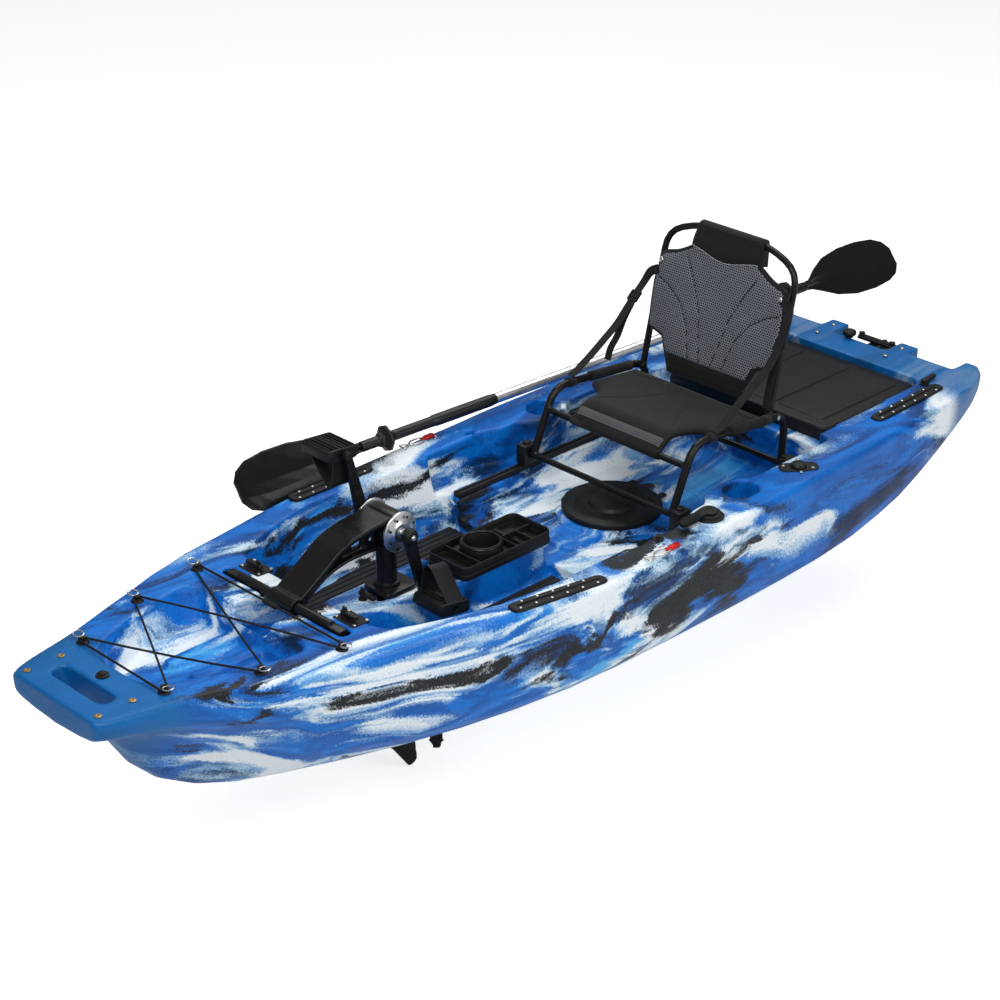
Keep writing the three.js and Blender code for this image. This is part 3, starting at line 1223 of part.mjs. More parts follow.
function propellerSolid() {
  const { y, hub: hubRadius, length, radius, root, tip, blade: thick, pitch } = propeller;
  const rear = y + length / 2;
  const front = Math.max(y - length / 2, lower.tail + gap);
  const bossProfile = [
    [0, front], [hubRadius, front], [hubRadius, y], [hubRadius * 0.62, rear], [0, rear + thick],
  ];
  const boss = turned(bossProfile, 'y', count.medium);
  const gearY = hub.y + bevel.foot + shaft.running;
  const gearFront = gearY - bevel.footThick;
  const small = bevel.footDrop - shaft.running * 2;
  const spindleProfile = [
    [0, gearFront], [small, gearFront], [bevel.footDrop, gearY], [shaft.tail, gearY + bevel.footThick],
    [shaft.tail, y], [0, y],
  ];
  const spindle = turned(spindleProfile, 'y', count.few);
  const start = hubRadius * 0.6;
  const bladeRings = propellerShares.map(([reach, width, untwist]) => {
    const r = start + (radius - start) * reach;
    const chord = (root + (tip - root) * reach) * width;
    const angle = rad(90 - pitch - untwist * pitch * 0.5);
    const half = thick * (1 - reach * 0.6);
    const [s, c] = [Math.sin(angle), Math.cos(angle)];
    return sectionShares.map(([along, across]) => {
      const [a, b] = [along * chord, across * half];
      return at(a * s - b * c, a * c + b * s, r);
    });
  });
  const wing = loft(bladeRings).translate(0, y, 0);
  return moved(join(boss, spindle, wing, wing.clone().rotateY(turn / 2)), 0, 0, lower.z);
}
add(propellerPivot, 'propeller', propellerSolid(), finish.painted);

// Cranks and pedals: the port crank points down and the starboard crank up

const crankTilt = rad(crank.lean);
const armEnd = (sign) =>
  at(0, hub.y + sign * crank.reach * Math.sin(crankTilt), hub.z + sign * crank.reach * Math.cos(crankTilt));

function crankSolid(side) {
  const end = armEnd(-side);
  const middle = at(0, hub.y, hub.z);
  const faces = [side * (crank.x - crank.thick / 2), side * (crank.x + crank.thick / 2)];
  const [low, high] = [Math.min(...faces), Math.max(...faces)];
  const boss = moved(pin('x', crank.boss, low, high, count.medium), 0, hub.y, hub.z);
  const eyeBoss = moved(pin('x', crank.width / 2, low, high, count.medium), 0, end.y, end.z);
  const across = end.clone().sub(middle).normalize().cross(at(1, 0, 0));
  const edge = (centre, width) => [centre.y + across.y * width, centre.z + across.z * width];
  const wide = crank.boss * 0.85;
  const narrow = crank.width / 2.4;
  const outline = [edge(middle, wide), edge(middle, -wide), edge(end, -narrow), edge(end, narrow)];
  const arm = sideways(outline, low + gap * 4, high - gap * 4);
  const reach = side * (pedal.inner + pedal.width - pedal.thick / 2);
  const spindleEnds = [Math.min(faces[0], reach), Math.max(faces[0], reach)];
  const spindle = moved(pin('x', pedal.spindle, ...spindleEnds, count.small), 0, end.y, end.z);
  return join(boss, eyeBoss, arm, spindle);
}

const pedalTilts = { port: angles.pedalPort, starboard: angles.pedalStarboard };
const pedalShares = [[-1, -0.3], [-0.92, 0.5], [0.92, 0.5], [1, -0.3], [0.86, -0.5], [-0.86, -0.5]];
// The strap's line: share of the pedal's width from its inner end, and of its rise
const strapArchShares = [[0.96, 0], [0.3, 0.94], [0.16, 1], [0.05, 0.84], [0.04, 0]];

// Pedal: a treaded platform on the spindle, with a strap that rises from its outer end to its inner end
function pedalSolid(side, tilt) {
  const half = pedal.length / 2;
  const [inner, outer] = [pedal.inner, pedal.inner + pedal.width];
  const rim = pedal.spindle;
  const outline = pedalShares.map(([y, z]) => [y * half, z * pedal.thick]);
  const body = sideways(rounded(outline, rim), inner, outer);
  const slots = [-1, 1].map((sign) => {
    const ends = [sign * rim * 2.2, sign * (half - rim * 1.6)].sort((a, b) => a - b);
    return box(inner + rim, outer - rim, ...ends, -overrun, overrun);
  });
  const foot = (pedal.thick - pedal.strap) / 2;
  const rise = pedal.strapRise - foot;
  const archPoints = strapArchShares.map(([x, z]) => at(inner + pedal.width * x, 0, foot + rise * z));
  const over = webbing(bent(archPoints, half * 0.3, 3), at(0, 1, 0), pedal.strapWidth, pedal.strap);
  const bore = pin('x', clearing(rim, count.medium), inner - overrun, outer + overrun, count.medium);
  const boss = pin('x', rim * 1.6, inner, outer, count.small);
  const whole = cut(join(cut(body, slots), boss, over), bore);
  const end = armEnd(-side);
  const placed = whole.rotateX(rad(tilt)).translate(0, end.y, end.z);
  return side > 0 ? placed : mirrored(placed);
}
for (const [name, side] of sides) {
  add(cranks, `crank_${name}`, crankSolid(side), finish.painted);
  const end = armEnd(-side);
  const spindlePivot = pivotAt(cranks, 0, end.y, end.z);
  add(spindlePivot, `pedal_${name}`, pedalSolid(side, pedalTilts[name]), finish.plastic);
}

// Turn latches that hold the drive down, each on a foot on the moulding

function latchSolid(rise) {
  const z = latch.footThick + rise;
  const foot = pin('z', latch.foot, gap, latch.footThick, count.medium);
  const post = pin('z', latch.post, latch.footThick / 2, z + latch.thick, count.small);
  const corners = rectangle(-latch.foot, latch.arm, -latch.width / 2, latch.width / 2);
  const arm = eased(rounded(corners, latch.width / 2, 3), z, z + latch.thick, gap * 4);
  const half = latch.width / 5;
  const tab = box(-latch.foot / 2, latch.foot / 2, -half, half, z, z + latch.thick + latch.tab);
  return join(foot, post, arm, tab);
}
const frontLatchZ = lines.deckTop(frontLatch.y) + gap;
const latchPlaces = [
  ['drive_latch_port', frontLatch.x, frontLatch.y, frontLatchZ, 0, frontLatch.rise],
  ['drive_latch_starboard', -frontLatch.x, frontLatch.y, frontLatchZ, turn / 2, frontLatch.rise],
  ['drive_latch_rear', 0, rearLatch.y, pod.top, 0, rearLatch.rise],
];
for (const [name, x, y, z, heading, rise] of latchPlaces) {
  const spin = new THREE.Matrix4().makeRotationZ(heading);
  const matrix = new THREE.Matrix4().makeTranslation(x, y, z).multiply(spin);
  addAt(pivotAt(kayak, x, y, z), name, latchSolid(rise), finish.plastic, matrix);
}

// Seat: two bent side loops on crossbars that slide on the rails

const seatPivot = pivotAt(kayak, 0, seat.frontY, seat.footZ);
const loopSlope = (seat.heelZ - seat.kneeZ) / (seat.heelY - seat.kneeY);
const loopHeight = (y) => seat.kneeZ + loopSlope * (y - seat.kneeY);
const backPivotZ = loopHeight(back.y);

function clampBox(x, y) {
  const [halfX, halfY] = [clamp.width / 2, clamp.length / 2];
  return box(x - halfX, x + halfX, y - halfY, y + halfY, railTop + gap, clamp.top);
}

function seatFrameSolid() {
  const loops = [-1, 1].map((side) => {
    const x = side * seat.x;
    const path = [
      at(x, seat.rearY, seat.footZ), at(x, seat.heelY, seat.heelZ), at(x, seat.kneeY, seat.kneeZ),
      at(x, seat.frontY, seat.footZ),
    ];
    return tube(bent(path, seat.bend, 4), seat.tube);
  });
  const crossbar = (y, z, half) => moved(pin('x', seat.cross, -half, half, count.small), 0, y, z);
  const bars = [
    crossbar(seat.frontY, seat.footZ, seat.reach), crossbar(seat.rearY, seat.footZ, seat.reach),
    crossbar(seat.slingY, seat.slingZ, seat.x),
  ];
  const runners = [-1, 1].map((side) => clampBox(side * rail.x, seat.rearY));
  const ends = [seat.x - seat.tube * 2, seat.x + seat.tube * 0.4];
  const hole = moved(pin('x', clearing(back.pin, count.small), ...ends, count.small), 0, back.y, backPivotZ);
  return cut(join(loops, bars, runners), hole, mirrored(hole));
}
add(seatPivot, 'seat_frame', seatFrameSolid(), finish.painted);

function clampSolid() {
  const body = clampBox(rail.x, seat.frontY);
  const ends = [rail.x - overrun, rail.x + overrun];
  const hole = moved(
    pin('x', clearing(seat.cross, count.small), ...ends, count.small), 0, seat.frontY, seat.footZ,
  );
  const knob = pin('z', clamp.width / 3, clamp.top - gap, clamp.top + clamp.lip * 2, count.small);
  return cut(join(body, moved(knob, rail.x, seat.frontY, 0)), hole);
}
add(seatPivot, 'seat_clamp_port', clampSolid(), finish.plastic);
add(seatPivot, 'seat_clamp_starboard', mirrored(clampSolid()), finish.plastic);

// Seat panel: padded sling between the loops, crowned, drawn in at its edges and rolled down in front
const panelRowShares = [0, 0.05, 0.14, 0.26, 0.36, 0.4, 0.44, 0.6, 0.72, 0.76, 0.8, 0.95, 1];
const panelColumnShares = [-1, -0.96, -0.72, -0.68, -0.64, 0, 0.64, 0.68, 0.72, 0.96, 1];
const underShares = [0.9, 0, -0.9];
const seamShares = { rows: [0.4, 0.76], columns: [-0.68, 0.68], depth: 0.55, roll: 0.26, edge: 0.12 };

function seatPanelSolid() {
  const length = panel.back - panel.front;
  const rings = panelRowShares.map((row) => {
    const y = panel.front + length * row;
    const roll = Math.max(0, 1 - row / seamShares.roll) ** 2 * panel.frontDrop;
    const base = loopHeight(y) - panel.drop - roll - panel.crown;
    const rowFall = Math.sin((turn / 4) * Math.min(1, Math.min(row, 1 - row) / seamShares.edge + 0.15));
    const drawn = panel.half - gap - panel.crown * (1 - rowFall) * 0.5;
    const half = (panel.thick / 2) * rowFall;
    const over = panelColumnShares.map((column) => {
      const seam = seamShares.columns.includes(column) || seamShares.rows.includes(row);
      const crowned = panel.crown * Math.sqrt(Math.max(0, 1 - column ** 4)) * rowFall;
      const swell = crowned * (seam ? seamShares.depth : 1);
      return at(column * drawn, y, base + swell + half);
    });
    return [...over, ...underShares.map((column) => at(column * drawn, y, base - half))];
  });
  return loft(rings);
}
add(seatPivot, 'seat_panel', seatPanelSolid(), finish.mesh);

// Backrest: a bent hoop that folds about the loops, with a padded panel in front of it

const backPivot = pivotAt(seatPivot, 0, back.y, backPivotZ);
const backLean = rad(back.lean);
const leaned = (geometry) => geometry.rotateX(-backLean).translate(0, back.y, backPivotZ);

function hoopSolid() {
  const path = [
    at(back.x, 0, 0), at(back.x, 0, back.shoulder), at(back.crownHalf, 0, back.top),
    at(-back.crownHalf, 0, back.top), at(-back.x, 0, back.shoulder), at(-back.x, 0, 0),
  ];
  const hoop = tube(bent(path, back.bend, 4), back.tube);
  const feet = [-1, 1].map((side) => {
    const ends = [side * back.x, side * (seat.x - gap)].sort((a, b) => a - b);
    const eyeEnds = [side * (back.x - back.tube), side * (back.x + back.tube)].sort((a, b) => a - b);
    return join(pin('x', back.pin, ...ends, count.small), pin('x', back.tube, ...eyeEnds, count.medium));
  });
  return leaned(join(hoop, feet));
}
add(backPivot, 'back_hoop', hoopSolid(), finish.painted);

// The panel's outline, in shares of its half width and of the way from its bottom to its top
const backShares = [
  [0.55, 0], [0.6, 0.03], [0.64, 0.12], [0.72, 0.21], [0.93, 0.235], [0.97, 0.28], [1, 0.56], [0.985, 0.7],
  [0.94, 0.765], [0.7, 0.8], [0.54, 0.85], [0.49, 0.93], [0.46, 1],
];
// Rings from the front face round the edge to the rear face: share of the outline, share of the thickness
const padRingShares = [
  [0.3, -1], [0.62, -0.96], [0.9, -0.72], [0.985, -0.3], [1, 0], [0.985, 0.55], [0.4, 0.55],
];

function backPanelSolid() {
  const height = backPanel.top - backPanel.bottom;
  const corners = mirrorHalf(backShares.map(([x, h]) => [x * backPanel.half, backPanel.bottom + height * h]));
  const outline = rounded(corners, backPanel.thick * 2, 1);
  const middle = backPanel.bottom + height / 2;
  const rear = -back.tube - (backPanel.thick / 2) * padRingShares.at(-1)[1] - gap;
  const rings = padRingShares.map(([spread, depth]) => {
    const fullness = depth < 0 ? backPanel.thick / 2 + backPanel.crown : backPanel.thick / 2;
    return outline.map(([x, h]) => at(x * spread, rear + depth * fullness, middle + (h - middle) * spread));
  });
  return leaned(loft(rings));
}
add(backPivot, 'back_panel', backPanelSolid(), finish.mesh);

// Side straps from the panel's shoulders down to the side loops, each with its buckle
const strapShares = [[0, 0], [0.17, 0.35], [0.35, 0.58], [0.74, 0.9], [1, 1]];

function strapSolid() {
  const high = at(strap.x, back.y + strap.ahead, backPivotZ + strap.height);
  const lowY = seat.kneeY + strap.foot;
  const low = at(strap.x, lowY, loopHeight(lowY) + seat.tube + strap.thick / 2 + gap);
  const points = strapShares.map(([run, fall]) =>
    at(strap.x, high.y + (low.y - high.y) * run, high.z + (low.z - high.z) * fall),
  );
  const acrossBoat = at(1, 0, 0);
  const band = webbing(points, acrossBoat, strap.width, strap.thick);
  const buckleEnds = [points[1].clone().lerp(points[0], 0.2), points[1].clone().lerp(points[2], 0.6)];
  return join(band, webbing(buckleEnds, acrossBoat, strap.width * 1.2, strap.thick * 3));
}
add(seatPivot, 'back_strap_port', strapSolid(), finish.fabric);
add(seatPivot, 'back_strap_starboard', mirrored(strapSolid()), finish.fabric);

// Rudder: a bracket on the stern, a head that turns on its pin, and a blade that lifts

const rudderAxisY = halfLength - sternNotch.depth + rudder.reach;

function bracketSolid() {
  const y0 = halfLength - sternNotch.depth + gap;
  const { plateHalf, plateThick, plateLow, plateHigh, armHalf, armThick } = rudder;
  const plate = box(-plateHalf, plateHalf, y0, y0 + plateThick, plateLow, plateHigh);
  const arms = [rudder.lowArm, rudder.highArm].map((z) => {
    const reach = box(-armHalf, armHalf, y0, rudderAxisY, z, z + armThick);
    return join(reach, moved(pin('z', armHalf, z, z + armThick, count.medium), 0, rudderAxisY, 0));
  });
  const hole = pin('z', rudder.pin + gap, 0, hull.depth + overrun, count.medium);
  return cut(join(plate, arms), moved(hole, 0, rudderAxisY, 0));
}
add(kayak, 'rudder_bracket', bracketSolid(), finish.painted);

const rudderPivot = pivotAt(kayak, 0, rudderAxisY, rudder.lowArm);
const bladeY = rudderAxisY + blade.pivotBack;

function headSolid() {
  const { headHalf, headBack, yokeHalf, yokeThick, yokeDepth, knob } = rudder;
  const low = rudder.lowArm + rudder.armThick + gap;
  const high = rudder.highArm - gap;
  const top = rudder.highArm + rudder.armThick + gap;
  const corners = rectangle(-headHalf, headHalf, rudderAxisY - headHalf, rudderAxisY + headBack);
  const body = slab(rounded(corners, rudder.pin), low, high);
  const post = pin('z', rudder.pin, rudder.lowArm - rudder.pin, top + yokeThick / 2, count.medium);
  const yokeCorners = rectangle(-yokeHalf, yokeHalf, rudderAxisY - yokeDepth, rudderAxisY + yokeDepth);
  const yoke = eased(rounded(yokeCorners, yokeDepth / 2), top, top + yokeThick, gap * 4);
  const knobs = [-1, 1].map((side) => {
    const stub = pin('z', knob, top + gap, top + yokeThick + knob, count.small);
    return moved(stub, side * (yokeHalf - knob), rudderAxisY, 0);
  });
  const slotEnd = bladeY + overrun + blade.head;
  const slot = box(
    -blade.slot, blade.slot, rudderAxisY + rudder.slotFront, slotEnd, low - overrun, high + overrun,
  );
  const bladePin = moved(pin('x', blade.pin, -headHalf, headHalf, count.small), 0, bladeY, blade.pivotZ);
  return join(cut(join(body, moved(post, 0, rudderAxisY, 0), yoke, knobs), slot), bladePin);
}
add(rudderPivot, 'rudder_head', headSolid(), finish.painted);

// Blade outline: shares of the chord aft of the pivot's line and of the depth below the pivot
const rudderBladeShares = [
  [-0.12, -0.07], [0.12, -0.07], [0.5, 0.2], [0.9, 0.42], [0.98, 0.8], [0.7, 1], [0.25, 0.97], [0, 0.6],
  [-0.18, 0.2],
];

function bladeSolid() {
  const corners = rudderBladeShares.map(([c, d]) => [bladeY + c * blade.chord, blade.pivotZ - d * blade.depth]);
  const hole = moved(pin('x', blade.pin + gap, -overrun, overrun, count.medium), 0, bladeY, blade.pivotZ);
  return cut(sideways(rounded(corners, blade.head), -blade.half, blade.half), hole);
}
const bladePivot = pivotAt(rudderPivot, 0, bladeY, blade.pivotZ);
add(bladePivot, 'rudder_blade', bladeSolid(), finish.plastic);

// Paddle: lies on the starboard gunwale on its two drip rings

const ringHeight = (y) => lines.deckTop(y) + dripRing.radius + gap * 2;
const paddleFront = at(paddle.x, paddle.ringY, ringHeight(paddle.ringY));
const paddleRear = at(paddle.rearX, paddle.rearRingY, ringHeight(paddle.rearRingY));
const paddleLine = paddleRear.clone().sub(paddleFront);
const paddleSpan = paddleLine.length();
const paddleMatrix = new THREE.Matrix4()
  .makeTranslation(...paddleFront.toArray())
  .multiply(new THREE.Matrix4().makeRotationZ(-Math.atan2(paddleLine.x, paddleLine.y)))
  .multiply(new THREE.Matrix4().makeRotationX(Math.asin(paddleLine.z / paddleSpan)));

function shaftSolid() {
  const r = paddle.shaft;
  const { radius, thick, neck, end } = dripRing;
  const ringSteps = [
    [r, -thick * 2], [neck, -thick * 2], [neck, -thick], [radius, 0], [radius, thick], [neck, thick],
    [r, thick * 3],
  ];
  const [from, to] = [grip.from, grip.from + grip.length];
  const gripSteps = [[r, from], [grip.radius, from + r], [grip.radius, to - r], [r, to]];
  const half = [[0, -end], [r, -end], ...ringSteps, ...gripSteps];
  const other = half.map(([reach, y]) => [reach, paddleSpan - y]).reverse();
  return turned([...half, ...other], 'y', count.small);
}
const paddlePivot = pivotAt(kayak, ...paddleFront.toArray());
addAt(paddlePivot, 'paddle_shaft', shaftSolid(), finish.aluminium, paddleMatrix);

// Blade: share of its length, of its half width on each side of the shaft's line, and of its spine's height
const paddleBladeShares = [
  [0, 0.17, 0.17, 1.6], [0.06, 0.2, 0.2, 1.5], [0.16, 0.52, 0.4, 1.1], [0.3, 0.84, 0.72, 0.8],
  [0.5, 1, 0.94, 0.6],
  [0.7, 1, 0.98, 0.45], [0.86, 0.88, 0.9, 0.3], [0.95, 0.64, 0.72, 0.2], [1, 0.3, 0.4, 0.1],
];
const ribShare = 0.4;

function paddleBladeSolid(direction, from, roll) {
  const [c, s] = [Math.cos(roll), Math.sin(roll)];
  const half = paddleBlade.thick / 2;
  const rings = paddleBladeShares.map(([run, up, down, ridge]) => {
    const y = from + direction * run * paddleBlade.length;
    const dish = Math.sin((turn / 2) * run) * paddleBlade.spine;
    const neck = Math.max(half, ridge * paddleBlade.spine);
    const [high, low] = [up * paddleBlade.half, -down * paddleBlade.half];
    const points = [
      [low, dish - half], [low * ribShare, -half], [0, -neck], [high * ribShare, -half], [high, dish - half],
      [high, dish + half], [high * ribShare, half], [0, neck], [low * ribShare, half], [low, dish + half],
    ];
    return points.map(([w, t]) => at(w * c - t * s, y, w * s + t * c));
  });
  return loft(rings);
}
const bladeRoll = turn / 2 - rad(angles.paddleRoll);
const bladeStart = dripRing.end + gap;
const frontBlade = paddleBladeSolid(-1, -bladeStart, bladeRoll);
const rearBlade = paddleBladeSolid(1, paddleSpan + bladeStart, bladeRoll);
addAt(paddlePivot, 'paddle_blade_front', frontBlade, finish.plastic, paddleMatrix);
addAt(paddlePivot, 'paddle_blade_rear', rearBlade, finish.plastic, paddleMatrix);

export default kayak;
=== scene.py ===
"""The looks of the pedal kayak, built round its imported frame.

Units are metres. +X is port, +Y is astern (the bow points to -Y) and +Z is up.
"""

import json
import math

import bmesh
import bpy
import numpy as np
from mathutils import Matrix, Vector
from mathutils.bvhtree import BVHTree


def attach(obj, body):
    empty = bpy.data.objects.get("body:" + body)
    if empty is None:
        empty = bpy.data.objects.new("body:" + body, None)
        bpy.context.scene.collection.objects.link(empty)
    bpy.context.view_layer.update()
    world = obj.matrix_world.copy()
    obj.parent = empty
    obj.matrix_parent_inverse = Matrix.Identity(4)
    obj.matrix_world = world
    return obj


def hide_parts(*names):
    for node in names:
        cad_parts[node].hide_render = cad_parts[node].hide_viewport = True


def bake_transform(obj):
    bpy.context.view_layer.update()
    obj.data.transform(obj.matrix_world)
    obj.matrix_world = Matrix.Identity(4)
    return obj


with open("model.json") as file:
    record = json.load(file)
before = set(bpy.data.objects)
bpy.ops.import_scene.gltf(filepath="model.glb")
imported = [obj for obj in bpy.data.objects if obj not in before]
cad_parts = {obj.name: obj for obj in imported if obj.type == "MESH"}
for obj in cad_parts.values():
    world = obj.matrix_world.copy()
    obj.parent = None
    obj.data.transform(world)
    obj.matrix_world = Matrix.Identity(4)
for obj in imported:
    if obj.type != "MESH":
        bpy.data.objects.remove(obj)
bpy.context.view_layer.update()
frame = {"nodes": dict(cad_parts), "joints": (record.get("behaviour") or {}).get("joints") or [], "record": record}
nodes = frame["nodes"]
record = frame["record"]
body_of = {node: body for body, members in record["behaviour"]["bodies"].items() for node in members}
slot_of = {row["node"]: row["material_slot"] for row in record["subparts"]}
joint_of = {joint["name"]: joint for joint in frame["joints"]}

MM = 0.001
WELD = 0.01 * MM
SIDES = (("port", 1), ("starboard", -1))

# Camera and stage

CAMERA = {
    "place": (3.61493, -3.64718, 2.92362),
    "azimuth": 45.517,
    "elevation": 26.814,
    "lens": 84.372,
    "sensor": 36.0,
}


def add_camera():
    data = bpy.data.cameras.new("camera")
    data.lens = CAMERA["lens"]
    data.sensor_width = CAMERA["sensor"]
    data.sensor_fit = "HORIZONTAL"
    data.clip_end = 100
    camera = bpy.data.objects.new("camera", data)
    camera.location = CAMERA["place"]
    camera.rotation_euler = (math.radians(90 - CAMERA["elevation"]), 0, math.radians(CAMERA["azimuth"]))
    bpy.context.scene.collection.objects.link(camera)
    bpy.context.scene.camera = camera


# Shader nodes


class Shader:
    """One material, with short calls for the nodes that these materials share."""

    def __init__(self, name, roughness=0.5, metallic=0.0):
        self.material = bpy.data.materials.new(name)
        self.material.use_nodes = True
        self.tree = self.material.node_tree
        self.surface = self.tree.nodes["Principled BSDF"]
        self.surface.inputs["Roughness"].default_value = roughness
        self.surface.inputs["Specular IOR Level"].default_value = 0.25
        self.surface.inputs["Metallic"].default_value = metallic
        self.where = self.node("TexCoord").outputs["Object"]

    def node(self, kind, inputs=None, **settings):
        made = self.tree.nodes.new("ShaderNode" + kind)
        for key, value in settings.items():
            setattr(made, key, value)
        for key, value in (inputs or {}).items():
            self.feed(made.inputs[key], value)
        return made

    def feed(self, socket, value):
        if isinstance(value, bpy.types.NodeSocket):
            self.tree.links.new(value, socket)
        else:
            socket.default_value = value

    def set(self, name, value):
        self.feed(self.surface.inputs[name], value)

    def math(self, operation, a, b=0.0, clamp=False):
        return self.node("Math", {0: a, 1: b}, operation=operation, use_clamp=clamp).outputs[0]

    def vector(self, operation, a, b=(0, 0, 0)):
        return self.node("VectorMath", {0: a, 1: b}, operation=operation).outputs[0]

    def scaled(self, vector, factor):
        return self.node("VectorMath", {0: vector, "Scale": factor}, operation="SCALE").outputs[0]

    def mapped(self, scale=(1, 1, 1), turn=(0, 0, 0), shift=(0, 0, 0), vector=None):
        inputs = {"Vector": vector or self.where, "Scale": scale, "Rotation": turn, "Location": shift}
        return self.node("Mapping", inputs).outputs[0]

    def split(self):
        return self.node("SeparateXYZ", {0: self.where}).outputs

    def noise(self, scale, detail=2.0, roughness=0.5, vector=None, colour=False):
        inputs = {"Vector": vector or self.where, "Scale": scale, "Detail": detail, "Roughness": roughness}
        return self.node("TexNoise", inputs).outputs["Color" if colour else "Fac"]

    def drift(self, *settings, vector=None):
        """Coloured noise round zero, to push coordinates with."""
        cloud = self.noise(*settings, vector=vector, colour=True)
        return self.vector("SUBTRACT", cloud, (0.5, 0.5, 0.5))

    def ramp(self, factor, stops):
        made = self.node("ValToRGB", {0: factor})
        points = made.color_ramp.elements
        while len(points) < len(stops):
            points.new(1.0)
        for point, (place, colour) in zip(points, stops):
            point.position = place
            point.color = (*colour, 1) if len(colour) == 3 else colour
        return made.outputs[0]

    def step(self, value, low, high):
        inputs = {"Value": value, "From Min": low, "From Max": high}
        return self.node("MapRange", inputs, interpolation_type="SMOOTHSTEP").outputs[0]

    def mix(self, factor, a, b):
        def colour(value):
            return (*value, 1) if isinstance(value, tuple) and len(value) == 3 else value

        inputs = {0: factor, 6: colour(a), 7: colour(b)}
        return self.node("Mix", inputs, data_type="RGBA").outputs[2]

    def bump(self, height, distance, strength=1.0):
        inputs = {"Height": height, "Distance": distance, "Strength": strength}
        below = self.surface.inputs["Normal"]
        if below.is_linked:
            inputs["Normal"] = below.links[0].from_socket
        self.set("Normal", self.node("Bump", inputs).outputs[0])

    def toned(self, scale, detail, dark, light):
        """A base colour that wanders between two tones."""
        self.set("Base Color", self.mix(self.noise(scale, detail), dark, light))

    def rough(self, factor, low, high, start=0.0, end=1.0):
        inputs = {"Value": factor, "From Min": start, "From Max": end, "To Min": low, "To Max": high}
        self.set("Roughness", self.node("MapRange", inputs).outputs[0])

    def worn(self, low, high, scale):
        """Roughness that wanders between two values."""
        self.rough(self.noise(scale, 3), low, high, 0.3, 0.7)


# Materials

BLACK_SHELL = (0.008, 0.006, 0.005)
NAVY = (0.001, 0.016, 0.065)
ROYAL = (0.0, 0.082, 0.38)
AZURE = (0.0, 0.165, 0.62)
SKY = (0.07, 0.42, 0.82)
HAZE = (0.36, 0.60, 0.80)
FROST = (0.80, 0.86, 0.90)


# Places along the boat where the marbling ends in plain blue, and the height where the keel goes pale
BOW_PLAIN = (-1.16, -1.25)
STERN_PLAIN = (1.17, 1.24)
KEEL_PALE = (0.03, 0.0)
FLOW = 0.26


def hull_shell():
    """Marbled polyethylene: poured colours dragged along the boat, with fine granules in them."""
    shader = Shader("hull_shell", 0.4)
    y, z = shader.split()[1:]
    drag = shader.mapped(scale=(1.3, 0.55, 1.5), turn=(0.10, 0.0, FLOW))
    swirled = shader.vector("ADD", drag, shader.scaled(shader.drift(1.5, 2, vector=drag), 1.5))
    fine = shader.scaled(shader.drift(5.2, 3, vector=swirled), 0.22)
    dust = shader.scaled(shader.drift(190, 2, 0.6), 0.05)
    marbled = shader.vector("ADD", shader.vector("ADD", swirled, fine), dust)
    first = shader.noise(2.5, 6, 0.6, vector=marbled)
    second = shader.noise(2.9, 5, 0.56, vector=shader.vector("ADD", marbled, (7.3, 2.1, 4.6)))
    third = shader.noise(2.3, 5, 0.58, vector=shader.vector("ADD", marbled, (1.9, 8.2, 3.3)))
    blues = shader.ramp(first, [
        (0.38, NAVY), (0.44, ROYAL), (0.50, AZURE), (0.55, ROYAL), (0.62, AZURE), (0.68, SKY),
    ])
    along = shader.mapped(scale=(9, 2.2, 12), turn=(0.1, 0, FLOW), vector=marbled)
    streaks = shader.math("SUBTRACT", shader.noise(1.0, 4, 0.6, vector=along), 0.5)
    veil = shader.math("ADD", second, shader.math("MULTIPLY", streaks, 0.28))
    ink = shader.math("ADD", third, shader.math("MULTIPLY", streaks, -0.16))
    grain = shader.noise(420, 2, 0.6)
    pits = shader.step(shader.noise(360, 2, 0.6, vector=shader.mapped(shift=(3, 1, 2))), 0.60, 0.70)
    plain = shader.mix(shader.noise(6, 4), (0.0, 0.082, 0.27), (0.004, 0.14, 0.40))
    ends = shader.math("ADD", shader.step(y, *BOW_PLAIN), shader.step(y, *STERN_PLAIN), clamp=True)
    body = blues
    for mask, share, colour in (
        (shader.step(veil, 0.49, 0.57), 0.85, HAZE),
        (shader.step(veil, 0.535, 0.60), 1.0, FROST),
        (shader.step(ink, 0.565, 0.61), 1.0, BLACK_SHELL),
        (ends, 0.88, plain),
        (shader.step(z, *KEEL_PALE), 0.75, FROST),
        (shader.step(grain, 0.60, 0.68), 0.22, SKY),
        (pits, 0.4, NAVY),
    ):
        body = shader.mix(shader.math("MULTIPLY", mask, share), body, colour)
    shader.set("Base Color", body)
    shader.worn(0.34, 0.5, 14)
    shader.bump(shader.noise(30, 3), 0.0016, 0.25)
    shader.bump(grain, 0.0005, 0.35)
    return shader.material


def plain(name, tone, wear, grain=None, metallic=0.0):
    """A finish whose tone, gloss and fine grain wander over the surface."""
    shader = Shader(name, wear[0], metallic)
    shader.toned(*tone)
    shader.worn(*wear)
    if grain:
        scale, roughness, distance, strength = grain
        shader.bump(shader.noise(scale, 2, roughness), distance, strength)
    return shader.material


def satin_paint(name):
    tone = (12, 3, (0.004, 0.004, 0.0045), (0.009, 0.009, 0.0095))
    return plain(name, tone, (0.22, 0.36, 40), (1200, 0.5, 0.0002, 0.5))


def rubber(name, tone, scale):
    low, high = tone * 0.7, tone * 1.3
    blend = (20, 4, (low, low, low), (high, high, high * 1.05))
    return plain(name, blend, (0.6, 0.85, 50), (scale, 0.7, 0.0004, 0.6))


